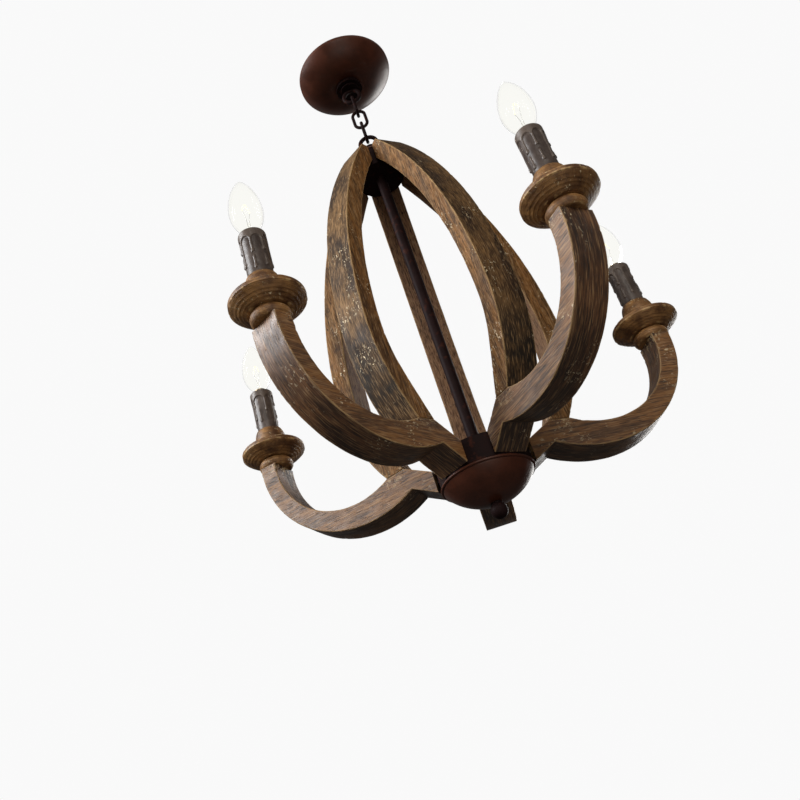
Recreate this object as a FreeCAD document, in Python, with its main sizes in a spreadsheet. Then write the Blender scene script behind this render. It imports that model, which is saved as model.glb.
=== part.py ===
import FreeCAD
import Part
import math
import os
import types
import Sketcher

# Orb chandelier: five wooden candle arms and five wooden ribs round a metal rod, hung on a chain.
# Millimetres, +Z up. The origin is the middle of the mounting strap's top face, on the ceiling.
# Heights in the lamp itself are measured from the rim of the lower hub cap, called the hub rim.
# Every arm is drawn along +X, standing in the XZ plane, and is then turned about Z to its place.

doc = FreeCAD.newDocument("orb_chandelier")
V = FreeCAD.Vector

DIMENSIONS = [
    # Wooden boards
    ("board_width", 38, "width of every arm and rib, across its plane"),
    ("arris_radius", 1.2, "worn rounding along the long edges of the boards"),
    ("glue_line", 0.1, "gap between two pieces that are glued or clamped together"),
    ("seat_gap", 0.3, "gap between a piece and the seat it rests on"),
    # Candle arm
    ("stem_low", 1.6, "height of the stem's lower end corner"),
    ("stem_end_height", 25.5, "height of the end face that butts on a drum"),
    ("stem_kink", 18.5, "height of the kink under the stem"),
    ("sole_radius", 122, "radius of the arm's outer, lower edge"),
    ("sole_reach", 132, "distance of that arc's centre from the rod"),
    ("sole_low", 5, "lowest height of the outer edge"),
    ("bed_radius", 90, "radius of the arm's inner, upper edge"),
    ("bed_reach", 143, "distance of that arc's centre from the rod"),
    ("bed_low", 33, "lowest height of the inner edge"),
    ("arm_top", 129.5, "height of the flat top that carries the candle"),
    ("crotch", 43.1, "height of the crotch between arm and rib"),
    ("seam_reach", 79, "distance of the seam's inner end from the rod"),
    ("seam_height", 45, "height of the seam's inner end"),
    ("first_turn", -126, "direction of the first arm, degrees from +X"),
    ("arm_spacing", 72, "angle from one arm to the next, degrees"),
    # Rib
    ("rib_depth", 22, "depth of the rib in its plane"),
    ("rib_waist", 112, "inner radius of the orb at its widest"),
    ("waist_height", 157.3, "height of the orb's widest place"),
    ("foot_aim", 0.7066, "how far up to the waist the rib's straight foot aims, as a share"),
    ("upper_bend", 535, "bend radius of the rib's inner edge, above the waist"),
    # Dowels in the seam between arm and rib
    ("dowel_radius", 4, "wooden dowel"),
    ("dowel_depth", 12, "depth of a dowel in each board"),
    ("dowel_reach", 91.5, "distance of the dowels from the rod"),
    ("dowel_offset", 10, "distance of a dowel from the board's middle"),
    ("dowel_fit", 0.05, "radial gap round a dowel"),
    # Drums, one below and a narrower one turned over above
    ("drum_radius", 49.2, "outside of the lower drum"),
    ("top_drum_radius", 30, "outside of the upper drum"),
    ("drum_wall", 1.5, "wall of a drum"),
    ("drum_plate", 2, "plate across a drum, on the rod's side"),
    ("drum_height", 27.5, "height of a drum"),
    ("drum_margin", 1.3, "drum past the end faces of the boards"),
    # Caps
    ("cap_rim_radius", 50.6, "outside of the lower cap's rolled lip"),
    ("top_rim_radius", 31.4, "outside of the upper cap's rolled lip"),
    ("cap_lip", 2.6, "height of the lip"),
    ("bowl_radius", 48.6, "rim of the lower bowl at the lip"),
    ("top_bowl_radius", 29.4, "rim of the upper bowl at the lip"),
    ("hub_cap_depth", 28, "depth of the lower cap"),
    ("top_cap_depth", 14, "depth of the upper cap"),
    ("cap_wall", 1.2, "wall of the caps"),
    # Rod
    ("tube_radius", 6.35, "outside of the visible rod"),
    ("tube_bore", 5, "bore of the visible rod"),
    ("stud_radius", 4.8, "threaded tube through the whole lamp, and the nipples"),
    ("stud_bore", 3, "wire way in the threaded tube and the nipples"),
    ("stud_fit", 0.08, "radial gap between a thread and its nut"),
    ("stud_clear", 0.4, "radial gap round a threaded tube in a plain hole"),
    ("nut_flat", 8, "half the width across a nut's flats"),
    ("nut_height", 6, "height of a nut"),
    ("strap_nut_height", 4, "height of the thin nut under the strap"),
    ("washer_radius", 12, "outside of a washer"),
    ("washer_height", 1.6, "thickness of a washer"),
    # Finial
    ("ball_radius", 9, "ball of the finial"),
    ("neck_radius", 6.4, "neck of the finial"),
    ("neck_height", 2.2, "height of the neck above the ball"),
    ("finial_grip", 8, "length of thread in the finial"),
    # Screws that hold the boards on the drums
    ("screw_radius", 2, "shank of a screw"),
    ("screw_head_radius", 4, "head of a screw"),
    ("screw_head", 2.4, "height of the head"),
    ("screw_bite", 16, "length of the screw in the wood"),
    ("screw_offset", 9, "distance of a screw from the board's middle"),
    ("stem_screw_rise", 15.4, "height of the screws above a stem's lower corner"),
    ("rib_screw_rise", 6.4, "height of the screws above a rib's lower corner"),
    ("screw_fit", 0.1, "radial gap round a screw in the wood"),
    ("screw_clear", 0.3, "radial gap round a screw in the drum"),
    # Candle stack
    ("candle_reach", 242.7, "distance of a candle from the rod"),
    ("collar_radius", 20.5, "turned collar on the arm's top, at its middle"),
    ("collar_flat", 17.4, "flat faces of that collar"),
    ("collar_height", 11.4, "height of that collar"),
    ("pan_foot", 21.5, "flat foot of the drip pan"),
    ("pan_radius", 38, "rim of the drip pan"),
    ("pan_rise", 11, "height of the rim's lower edge above the foot"),
    ("pan_bulge", 0.9, "bulge of the underside near the rim"),
    ("pan_rim", 5.5, "height of the rim"),
    ("rim_round", 2.2, "rounding of the rim's outer edge"),
    ("pan_floor", 7.5, "height of the pan's floor above the foot"),
    ("floor_radius", 28, "flat floor of the pan"),
    ("dish_radius", 38, "bend radius of the dished slope from the floor to the rim"),
    ("boss_radius", 18.3, "bell boss in the middle of the pan"),
    ("boss_shoulder", 31, "height where the boss starts to round off"),
    ("boss_flat", 15.6, "flat top of the boss"),
    ("boss_height", 42, "height of the boss above the foot"),
    # Candle sleeve
    ("sleeve_radius", 13.1, "outside of the sleeve"),
    ("sleeve_bore", 10.6, "bore of the sleeve"),
    ("sleeve_height", 58, "height of the sleeve"),
    ("wax_radius", 14.3, "thickened wax rim at the sleeve's top"),
    ("wax_height", 10, "height of the wax rim"),
    ("wax_slope", 3, "height of the slope under the wax rim"),
    ("wax_round", 3, "height of the rounded top edge"),
    ("wax_lip", 12.3, "radius where the rounded top edge ends"),
    ("run_radius", 2.3, "a run of wax down the sleeve"),
    ("run_reach", 12.3, "distance of a run's axis from the candle's axis"),
    ("long_run", 40, "length of a long run"),
    ("short_run", 24, "length of a short run"),
    ("run_top", 5, "depth of a run's top below the sleeve's top"),
    ("run_count", 6, "runs on one sleeve"),
    # Lamp holder and nipple
    ("holder_radius", 10.2, "outside of the lamp holder"),
    ("holder_foot_radius", 9.2, "foot of the lamp holder"),
    ("holder_foot", 10, "height of the foot"),
    ("holder_height", 57.1, "height of the lamp holder"),
    ("holder_well", 19, "depth of the well for the bulb's cap"),
    ("nipple_grip", 9, "length of the nipple in the lamp holder"),
    ("nipple_root", 10, "length of the nipple in the arm"),
    # Bulb, heights above its contact
    ("lamp_cap_radius", 5.95, "screw cap of the bulb"),
    ("lamp_cap_fit", 0.15, "radial gap of the cap in the holder"),
    ("contact_radius", 2.6, "contact under the cap"),
    ("contact_height", 1.2, "height of the contact"),
    ("cap_taper", 2, "height of the taper from the contact to the cap"),
    ("contact_gap", 0.4, "gap under the contact"),
    ("flange_radius", 7.4, "flange that holds the glass"),
    ("flange_height", 4.4, "height of the flange"),
    ("flange_cup", 2.2, "depth of the glass in the flange"),
    ("glass_neck", 6.3, "neck of the glass"),
    ("glass_radius", 17.5, "widest place of the glass"),
    ("glass_wide", 50, "height of the widest place"),
    ("glass_shoulder", 96, "height where the sides of the glass would meet in a point"),
    ("glass_tip", 3.2, "radius where the glass's blunt tip starts"),
    ("glass_wall", 0.9, "wall of the glass"),
    ("glass_fit", 0.1, "gap between the glass and its flange"),
    # Chain and loops
    ("link_wire", 2.1, "half the thickness of a chain link's wire"),
    ("link_bend", 8.3, "bend radius of a link, to the middle of its wire"),
    ("link_straight", 14, "straight length of a link"),
    ("link_gap", 0.3, "gap between two hanging rings or links"),
    ("ring_wire", 2.6, "half the thickness of a loop's ring"),
    ("ring_bend", 11, "radius of a loop's ring, to the middle of its wire"),
    ("loop_boss_radius", 9, "boss of the lamp's loop"),
    ("loop_boss", 14, "height of that boss"),
    ("loop_grip", 10, "length of thread in that boss"),
    # Ceiling
    ("strap_length", 112, "mounting strap"),
    ("strap_width", 20, "mounting strap"),
    ("strap_thick", 2.5, "mounting strap"),
    ("slot_spacing", 88.9, "distance between the middles of the strap's two slots"),
    ("slot_width", 5, "width of a slot"),
    ("slot_length", 15, "length of a slot, end to end"),
    ("canopy_radius", 63.5, "rim of the ceiling canopy"),
    ("canopy_depth", 26, "depth of the canopy"),
    ("canopy_rim", 4.5, "straight rim of the canopy"),
    ("canopy_flat", 24, "flat middle of the canopy"),
    ("canopy_hole", 13.6, "hole in the middle of the canopy"),
    ("canopy_wall", 1.2, "wall of the canopy"),
    ("thread_radius", 12.5, "threaded collar of the canopy's loop"),
    ("thread_top", 15, "depth of that collar's upper end below the ceiling"),
    ("thread_low", 34, "depth of that collar's lower end below the ceiling"),
    ("ring_nut_radius", 18, "outside of the ring nut under the canopy"),
    ("ring_nut_height", 5, "height of the ring nut"),
    ("knurl_count", 24, "notches round the ring nut"),
    ("knurl_radius", 0.8, "size of a notch"),
]

ARM_LETTERS = "abcde"
LINK_COUNT = 3


class Size:
    """A number, and the expression in the sheet's names that gives it."""

    def __init__(self, number, text):
        self.number = number
        self.text = text

    def __add__(self, other):
        return joined(self, "+", other, number_of(self) + number_of(other))

    def __radd__(self, other):
        return joined(other, "+", self, number_of(other) + number_of(self))

    def __sub__(self, other):
        return joined(self, "-", other, number_of(self) - number_of(other))

    def __rsub__(self, other):
        return joined(other, "-", self, number_of(other) - number_of(self))

    def __mul__(self, other):
        return joined(self, "*", other, number_of(self) * number_of(other))

    def __rmul__(self, other):
        return joined(other, "*", self, number_of(other) * number_of(self))

    def __truediv__(self, other):
        return joined(self, "/", other, number_of(self) / number_of(other))

    def __neg__(self):
        return 0 - self


def number_of(size):
    return size.number if isinstance(size, Size) else float(size)


def text_of(size):
    return size.text if isinstance(size, Size) else f"({size})"


def joined(left, sign, right, number):
    return Size(number, f"({text_of(left)} {sign} {text_of(right)})")


def root(size):
    return Size(math.sqrt(number_of(size)), f"sqrt({text_of(size)})")


def cosine(angle):
    return Size(math.cos(math.radians(number_of(angle))), f"cos({text_of(angle)})")


def sine(angle):
    return Size(math.sin(math.radians(number_of(angle))), f"sin({text_of(angle)})")


def square(size):
    return size * size


def arc_radius(half_chord, rise):
    """Radius of the arc that rises this far over half its chord."""
    return (square(half_chord) + square(rise)) / (2 * rise)


# The sheet of driving dimensions, and a list of the heights worked out from them
sheet = doc.addObject("Spreadsheet::Sheet", "dims")
dims = types.SimpleNamespace()
for row, (alias, number, note) in enumerate(DIMENSIONS, start=1):
    sheet.set(f"A{row}", note)
    sheet.set(f"B{row}", str(number))
    sheet.setAlias(f"B{row}", alias)
    setattr(dims, alias, Size(float(number), f"dims.{alias}"))
levels = doc.addObject("App::FeaturePython", "levels")


def level(name, size):
    """Keeps a worked-out height or reach under a name of its own."""
    levels.addProperty("App::PropertyFloat", name)
    levels.setExpression(name, size.text)
    return Size(size.number, f"levels.{name}")


# Reaches and heights in the lamp, above the hub rim
STEM_FACE = level("stem_face", dims.drum_radius + dims.seat_gap)
RIB_FACE = level("rib_face", dims.top_drum_radius + dims.seat_gap)
SOLE_CENTRE = level("sole_centre", dims.sole_low + dims.sole_radius)
BED_CENTRE = level("bed_centre", dims.bed_low + dims.bed_radius)
RIB_OUTER = level("rib_outer", dims.rib_waist + dims.rib_depth)
RIB_CENTRE = level("rib_centre", dims.rib_waist - dims.upper_bend)
OUTER_BEND = level("outer_bend", dims.upper_bend + dims.rib_depth)
RIB_END_LOW = level(
    "rib_end_low",
    dims.waist_height + root(square(dims.upper_bend) - square(RIB_FACE - RIB_CENTRE)),
)
RIB_END_HIGH = level("rib_end_high", RIB_END_LOW + dims.stem_end_height)
STEM_SCREWS = level("stem_screws", dims.stem_low + dims.stem_screw_rise)
RIB_SCREWS = level("rib_screws", RIB_END_LOW + dims.rib_screw_rise)
DRUM_LOW = level("drum_low", dims.stem_low - dims.drum_margin)
DRUM_HIGH = level("drum_high", DRUM_LOW + dims.drum_height)
TOP_DRUM_LOW = level("top_drum_low", RIB_END_LOW - dims.drum_margin)
TOP_CAP_RIM = level("top_cap_rim", TOP_DRUM_LOW + dims.drum_height + dims.seat_gap)
LOOP_LOW = level("loop_low", TOP_CAP_RIM + dims.top_cap_depth + dims.seat_gap)
STUD_LOW = level("stud_low", -dims.hub_cap_depth - dims.seat_gap - dims.finial_grip)
COLLAR_LOW = level("collar_low", dims.arm_top + dims.glue_line)
PAN_LOW = level("pan_low", COLLAR_LOW + dims.collar_height + dims.glue_line)
SLEEVE_LOW = level("sleeve_low", PAN_LOW + dims.boss_height + dims.glue_line)
WELL_LOW = level("well_low", SLEEVE_LOW + dims.holder_height - dims.holder_well)
BULB_LOW = level("bulb_low", WELL_LOW + dims.contact_gap)
FLANGE_LOW = level("flange_low", dims.holder_well - dims.contact_gap + dims.seat_gap)

# Heights of the chain below the ceiling, and the hub rim's height
RING_STEP = level("ring_step", dims.ring_wire + dims.link_wire + dims.link_gap)
LINK_STEP = level("link_step", 2 * dims.link_wire + dims.link_gap)
LINK_HALF = level("link_half", dims.link_straight / 2 + dims.link_bend)
CANOPY_RING = level("canopy_ring", -dims.thread_low - dims.ring_bend)
FIRST_LINK = level("first_link", CANOPY_RING - dims.ring_bend + RING_STEP - LINK_HALF)
LINK_DROP = level("link_drop", 2 * LINK_HALF - LINK_STEP)
LAST_LINK = level("last_link", FIRST_LINK - (LINK_COUNT - 1) * LINK_DROP)
TOP_RING = level("top_ring", LAST_LINK - LINK_HALF + RING_STEP - dims.ring_bend)
LOOP_SEAT = level("loop_seat", TOP_RING - dims.ring_bend - dims.loop_boss)
HUB_RIM = level("hub_rim", LOOP_SEAT - LOOP_LOW)

ARM_TURNS = [dims.first_turn + index * dims.arm_spacing for index in range(len(ARM_LETTERS))]
UPRIGHT = FreeCAD.Rotation(V(0, 0, 1), 0)
TURNED_OVER = FreeCAD.Rotation(V(0, 1, 0), 180)
ALONG_X = FreeCAD.Rotation(V(0, 1, 0), 90)
DOWNWARDS = FreeCAD.Rotation(V(1, 0, 0), 180)
PARTS = []


def bind(thing, **sizes):
    """Binds properties to the sheet. Double underscores stand for the dots of a property's path."""
    for path, size in sizes.items():
        thing.setExpression(path.replace("__", "."), text_of(size))


def place(thing, x, y, z, rotation=UPRIGHT):
    thing.Placement = FreeCAD.Placement(V(0, 0, 0), rotation)
    bind(thing, Placement__Base__x=x, Placement__Base__y=y, Placement__Base__z=z)


def turn_about_z(angle):
    return FreeCAD.Rotation(V(0, 0, 1), number_of(angle))


def keep(thing, label, height=0, turn=None, reach=0, rotation=UPRIGHT):
    """Names a finished piece and puts it at its place."""
    thing.Label = label
    if turn is None:
        place(thing, 0, 0, height, rotation)
    else:
        place(thing, reach * cosine(turn), reach * sine(turn), height, turn_about_z(turn))
    PARTS.append(thing)


def origin_plane(body, role):
    return next(feature for feature in body.Origin.OriginFeatures if feature.Role == role)


def arc_between(start, end, radius, turns_left):
    """A minor arc from start to end, which turns left or right on its way."""
    across = end - start
    rise = math.sqrt(max(radius ** 2 - across.Length ** 2 / 4, 0))
    side = V(-across.y, across.x, 0).normalize() * (1 if turns_left else -1)
    centre = (start + end) * 0.5 + side * rise
    first, last = (start, end) if turns_left else (end, start)
    first_angle = math.atan2(first.y - centre.y, first.x - centre.x)
    last_angle = math.atan2(last.y - centre.y, last.x - centre.x)
    return Part.ArcOfCircle(Part.Circle(centre, V(0, 0, 1), radius), first_angle, last_angle)


def outline(body, plane, name, corners, arcs=None, smooth=(), loose=()):
    """A closed sketch. A corner is a pair of sizes. The arcs map an edge's number, counted from the
    first corner, to its radius and to whether it turns left on its way. Two edges meet without an
    angle at a smooth corner, and a loose corner is left to the other constraints."""
    arcs = arcs or {}
    sketch = body.newObject("Sketcher::SketchObject", name)
    sketch.AttachmentSupport = [(origin_plane(body, plane), "")]
    sketch.MapMode = "FlatFace"
    points = [V(number_of(x), number_of(y), 0) for x, y in corners]
    count = len(points)
    ends = []
    for index, start in enumerate(points):
        end = points[(index + 1) % count]
        if index in arcs:
            radius, turns_left = arcs[index]
            sketch.addGeometry(arc_between(start, end, number_of(radius), turns_left), False)
            ends.append((1, 2) if turns_left else (2, 1))
        else:
            sketch.addGeometry(Part.LineSegment(start, end), False)
            ends.append((1, 2))
    for index in range(count):
        following = (index + 1) % count
        kind = "Tangent" if following in smooth else "Coincident"
        meeting = (index, ends[index][1], following, ends[following][0])
        sketch.addConstraint(Sketcher.Constraint(kind, *meeting))
    for index, (across, up) in enumerate(corners):
        if index in loose:
            continue
        for kind, axis, size in (("DistanceX", -2, across), ("DistanceY", -1, up)):
            corner = (index, ends[index][0])
            if not isinstance(size, Size):
                sketch.addConstraint(Sketcher.Constraint("PointOnObject", *corner, axis))
                continue
            rule = sketch.addConstraint(Sketcher.Constraint(kind, -1, 1, *corner, size.number))
            sketch.setExpression(f"Constraints[{rule}]", size.text)
    for index, (radius, turns_left) in arcs.items():
        rule = sketch.addConstraint(Sketcher.Constraint("Radius", index, radius.number))
        sketch.setExpression(f"Constraints[{rule}]", radius.text)
    return sketch


def turned(name, corners, arcs=None):
    """A body turned round Z. Its corners are pairs of radius and height."""
    body = doc.addObject("PartDesign::Body", name)
    sketch = outline(body, "XZ_Plane", f"{name}_outline", corners, arcs)
    revolution = body.newObject("PartDesign::Revolution", f"{name}_turned")
    revolution.Profile = sketch
    revolution.ReferenceAxis = (sketch, ["V_Axis"])
    revolution.Angle = 360
    return body


def board(name, corners, arcs, smooth=(), loose=()):
    """A board cut to an outline in the XZ plane, with its long curved edges rounded."""
    body = doc.addObject("PartDesign::Body", name)
    sketch = outline(body, "XZ_Plane", f"{name}_outline", corners, arcs, smooth, loose)
    pad = body.newObject("PartDesign::Pad", f"{name}_board")
    pad.Profile = sketch
    pad.Midplane = True
    bind(pad, Length=dims.board_width)
    doc.recompute()
    long_edges = [
        f"Edge{number}"
        for number, edge in enumerate(pad.Shape.Edges, start=1)
        if edge.Curve.TypeId == "Part::GeomCircle"
    ]
    fillet = body.newObject("PartDesign::Fillet", f"{name}_arris")
    fillet.Base = (pad, long_edges)
    bind(fillet, Radius=dims.arris_radius)
    return body


def drill(body, name, radius, depth, x, y, z, rotation):
    """A round hole in a body, from a point on, along +Z unless it is turned."""
    hole = body.newObject("PartDesign::SubtractiveCylinder", name)
    bind(hole, Radius=radius, Height=depth)
    place(hole, x, y, z, rotation)


def cylinder(name, radius, height, x=0, y=0, z=0, rotation=UPRIGHT):
    rod = doc.addObject("Part::Cylinder", name)
    bind(rod, Radius=radius, Height=height)
    place(rod, x, y, z, rotation)
    return rod


def cut(name, base, tool):
    result = doc.addObject("Part::Cut", name)
    result.Base = base
    result.Tool = tool
    return result


def fuse(name, pieces):
    result = doc.addObject("Part::MultiFuse", name)
    result.Shapes = pieces
    result.Refine = True
    return result


def group(name, pieces):
    result = doc.addObject("Part::Compound", name)
    result.Links = pieces
    return result


def tube(name, radius, bore, height, x=0, y=0, z=0):
    outside = cylinder(f"{name}_outside", radius, height, x, y, z)
    inside = cylinder(f"{name}_inside", bore, height, x, y, z)
    return cut(name, outside, inside)


# Candle arm: a stem, the crotch and the U-shaped arm, cut from one board
def candle_arm(name):
    def on_arc(reach, radius, centre, height, way):
        return reach + way * root(square(radius) - square(centre - height))

    kink_reach = on_arc(dims.sole_reach, dims.sole_radius, SOLE_CENTRE, dims.stem_kink, -1)
    crotch_reach = on_arc(dims.bed_reach, dims.bed_radius, BED_CENTRE, dims.crotch, -1)
    top_outer = on_arc(dims.sole_reach, dims.sole_radius, SOLE_CENTRE, dims.arm_top, 1)
    top_inner = on_arc(dims.bed_reach, dims.bed_radius, BED_CENTRE, dims.arm_top, 1)
    corners = [
        (STEM_FACE, dims.stem_low),
        (kink_reach, dims.stem_kink),
        (dims.sole_reach, dims.sole_low),
        (top_outer, dims.arm_top),
        (top_inner, dims.arm_top),
        (dims.bed_reach, dims.bed_low),
        (crotch_reach, dims.crotch),
        (dims.seam_reach, dims.seam_height),
        (STEM_FACE, dims.stem_low + dims.stem_end_height),
    ]
    sole = (dims.sole_radius, True)
    bed = (dims.bed_radius, False)
    body = board(name, corners, {1: sole, 2: sole, 4: bed, 5: bed})
    drill_ends(body, name, STEM_FACE, STEM_SCREWS)
    dowel_floor = dims.seam_height - dims.dowel_depth - dims.dowel_fit
    drill_seam(body, name, dowel_floor, UPRIGHT)
    nipple_radius = dims.stud_radius + dims.stud_fit
    nipple_depth = dims.nipple_root + dims.seat_gap
    drill(
        body, f"{name}_nipple_hole", nipple_radius, nipple_depth,
        dims.candle_reach, 0, dims.arm_top, DOWNWARDS,
    )
    return body


def drill_ends(body, name, face, height):
    """Two pilot holes in the end face that butts on a drum."""
    radius = dims.screw_radius + dims.screw_fit
    depth = dims.screw_bite + dims.seat_gap
    for side in (-1, 1):
        offset = side * dims.screw_offset
        drill(body, f"{name}_pilot", radius, depth, face, offset, height, ALONG_X)


def drill_seam(body, name, height, rotation):
    """Two dowel holes across the seam between arm and rib."""
    radius = dims.dowel_radius + dims.dowel_fit
    depth = 2 * dims.dowel_depth
    for side in (-1, 1):
        offset = side * dims.dowel_offset
        drill(body, f"{name}_dowel_hole", radius, depth, dims.dowel_reach, offset, height, rotation)


# Rib: from its foot on the crotch, out and up round the orb, to the upper drum
def rib(name):
    crotch_reach = dims.bed_reach - root(square(dims.bed_radius) - square(BED_CENTRE - dims.crotch))
    crotch_height = dims.crotch + dims.glue_line
    foot_height = dims.seam_height + dims.glue_line
    foot_outer_bend = arc_radius(dims.waist_height - crotch_height, RIB_OUTER - crotch_reach)
    outer_end = RIB_CENTRE + root(square(OUTER_BEND) - square(RIB_END_HIGH - dims.waist_height))
    # The straight foot, run on, meets the waist's upright where it aims, and the bend lies between
    foot_run = dims.rib_waist - dims.seam_reach
    foot_rise = dims.foot_aim * (dims.waist_height - foot_height)
    foot_length = root(square(foot_run) + square(foot_rise))
    bend_rise = dims.waist_height - foot_height - foot_rise
    foot_bend = bend_rise * foot_run / (foot_length - foot_rise)
    touch_reach = dims.rib_waist - bend_rise * foot_run / foot_length
    touch_height = dims.waist_height - bend_rise - bend_rise * foot_rise / foot_length
    corners = [
        (crotch_reach, crotch_height),
        (RIB_OUTER, dims.waist_height),
        (outer_end, RIB_END_HIGH),
        (RIB_FACE, RIB_END_HIGH),
        (RIB_FACE, RIB_END_LOW),
        (dims.rib_waist, dims.waist_height),
        (touch_reach, touch_height),
        (dims.seam_reach, foot_height),
    ]
    arcs = {
        0: (foot_outer_bend, True),
        1: (OUTER_BEND, True),
        4: (dims.upper_bend, False),
        5: (foot_bend, False),
    }
    body = board(name, corners, arcs, smooth=(5, 6), loose=(6,))
    drill_ends(body, name, RIB_FACE, RIB_SCREWS)
    dowel_roof = dims.seam_height + dims.dowel_depth + dims.dowel_fit
    drill_seam(body, name, dowel_roof, DOWNWARDS)
    return body


for letter, turn in zip(ARM_LETTERS, ARM_TURNS):
    keep(candle_arm(f"candle_arm_{letter}"), f"candle_arm_{letter}", HUB_RIM, turn)
    keep(rib(f"rib_{letter}"), f"rib_{letter}", HUB_RIM, turn)


# Drum: a short cup with its plate at height 0, and five pairs of screw holes
def drum(name, outside, screw_height):
    hole = dims.stud_radius + dims.stud_clear
    inside = outside - dims.drum_wall
    body = turned(
        name,
        [
            (hole, 0),
            (outside, 0),
            (outside, dims.drum_height),
            (inside, dims.drum_height),
            (inside, dims.drum_plate),
            (hole, dims.drum_plate),
        ],
    )
    radius = dims.screw_radius + dims.screw_clear
    start = outside / 2
    for turn in ARM_TURNS:
        for side in (-1, 1):
            offset = side * dims.screw_offset
            x = start * cosine(turn) - offset * sine(turn)
            y = start * sine(turn) + offset * cosine(turn)
            rotation = turn_about_z(turn).multiply(ALONG_X)
            drill(body, f"{name}_hole", radius, outside, x, y, screw_height, rotation)
    return body


low_drum = drum("hub_drum", dims.drum_radius, DRUM_HIGH - STEM_SCREWS)
keep(low_drum, "hub_drum", HUB_RIM + DRUM_HIGH, rotation=TURNED_OVER)
high_drum = drum("top_drum", dims.top_drum_radius, RIB_SCREWS - TOP_DRUM_LOW)
keep(high_drum, "top_drum", HUB_RIM + TOP_DRUM_LOW)


# Cap: a spun bowl with a rolled lip, its rim at height 0
def cap(name, rim, bowl, depth):
    hole = dims.stud_radius + dims.stud_clear
    bowl_depth = depth - dims.cap_lip
    bend = arc_radius(bowl, bowl_depth)
    inner_bend = bend - dims.cap_wall
    centre = bend - depth
    inner_rim = root(square(inner_bend) - square(centre + dims.cap_lip))
    lip_low = -dims.cap_lip * 0.7
    lip_high = -dims.cap_lip * 0.3
    corners = [
        (hole, centre - root(square(bend) - square(hole))),
        (bowl, -dims.cap_lip),
        (rim, lip_low),
        (rim, lip_high),
        (rim - dims.cap_lip * 0.3, 0),
        (inner_rim, 0),
        (inner_rim, -dims.cap_lip),
        (hole, centre - root(square(inner_bend) - square(hole))),
    ]
    return turned(name, corners, {0: (bend, True), 6: (inner_bend, False)})


low_cap = cap("hub_cap", dims.cap_rim_radius, dims.bowl_radius, dims.hub_cap_depth)
keep(low_cap, "hub_cap", HUB_RIM)
high_cap = cap("top_cap", dims.top_rim_radius, dims.top_bowl_radius, dims.top_cap_depth)
keep(high_cap, "top_cap", HUB_RIM + TOP_CAP_RIM, rotation=TURNED_OVER)


# Finial: a ball with a neck, threaded on the stud's lower end, its top at height 0
def finial():
    bore = dims.stud_radius + dims.stud_fit
    bore_end = -dims.finial_grip - dims.seat_gap
    centre = -dims.neck_height - root(square(dims.ball_radius) - square(dims.neck_radius))
    corners = [
        (bore, 0),
        (bore, bore_end),
        (0, bore_end),
        (0, centre - dims.ball_radius),
        (dims.ball_radius, centre),
        (dims.neck_radius, -dims.neck_height),
        (dims.neck_radius, 0),
    ]
    ball = (dims.ball_radius, True)
    return turned("finial", corners, {3: ball, 4: ball})


keep(finial(), "finial", HUB_RIM - dims.hub_cap_depth - dims.seat_gap)

# Rod: a visible tube between the drums, round a threaded stud that clamps the lamp together
rod_length = TOP_DRUM_LOW - DRUM_HIGH - 2 * dims.glue_line
visible_rod = tube("centre_rod", dims.tube_radius, dims.tube_bore, rod_length)
keep(visible_rod, "centre_rod", HUB_RIM + DRUM_HIGH + dims.glue_line)
stud_length = LOOP_LOW + dims.loop_grip - STUD_LOW
stud = tube("tie_rod", dims.stud_radius, dims.stud_bore, stud_length)
keep(stud, "tie_rod", HUB_RIM + STUD_LOW)


# Nuts and washers on the stud, one of each inside each drum
def nut(name, height, z):
    prism = doc.addObject("Part::Prism", f"{name}_hexagon")
    prism.Polygon = 6
    bind(prism, Circumradius=dims.nut_flat / cosine(30), Height=height)
    place(prism, 0, 0, z)
    thread = cylinder(f"{name}_thread", dims.stud_radius + dims.stud_fit, height, z=z)
    return cut(name, prism, thread)


def washer(name, z):
    hole = dims.stud_radius + dims.stud_clear
    return tube(name, dims.washer_radius, hole, dims.washer_height, z=z)


low_washer = DRUM_HIGH - dims.drum_plate - dims.glue_line - dims.washer_height
low_nut = low_washer - dims.glue_line - dims.nut_height
high_washer = TOP_DRUM_LOW + dims.drum_plate + dims.glue_line
high_nut = high_washer + dims.washer_height + dims.glue_line
rod_nuts = [
    washer("low_washer", low_washer),
    nut("low_nut", dims.nut_height, low_nut),
    washer("high_washer", high_washer),
    nut("high_nut", dims.nut_height, high_nut),
]
keep(group("rod_nuts", rod_nuts), "rod_nuts", HUB_RIM)


# Screws: two for each end face, driven outwards from inside a drum
def screw(name, turn, side, drum_radius, height):
    inside = drum_radius - dims.drum_wall
    head_edge = dims.screw_offset + dims.screw_head_radius
    seat = root(square(inside) - square(head_edge)) - dims.glue_line
    start = seat - dims.screw_head
    head = cylinder(f"{name}_head", dims.screw_head_radius, dims.screw_head, rotation=ALONG_X)
    length = drum_radius + dims.seat_gap + dims.screw_bite - start
    shank = cylinder(f"{name}_shank", dims.screw_radius, length, rotation=ALONG_X)
    pieces = fuse(name, [head, shank])
    offset = side * dims.screw_offset
    x = start * cosine(turn) - offset * sine(turn)
    y = start * sine(turn) + offset * cosine(turn)
    place(pieces, x, y, height, turn_about_z(turn))
    return pieces


screws = []
for letter, turn in zip(ARM_LETTERS, ARM_TURNS):
    for side in (-1, 1):
        screws.append(screw(f"stem_screw_{letter}", turn, side, dims.drum_radius, STEM_SCREWS))
        screws.append(screw(f"rib_screw_{letter}", turn, side, dims.top_drum_radius, RIB_SCREWS))
keep(group("hub_screws", screws), "hub_screws", HUB_RIM)

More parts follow.
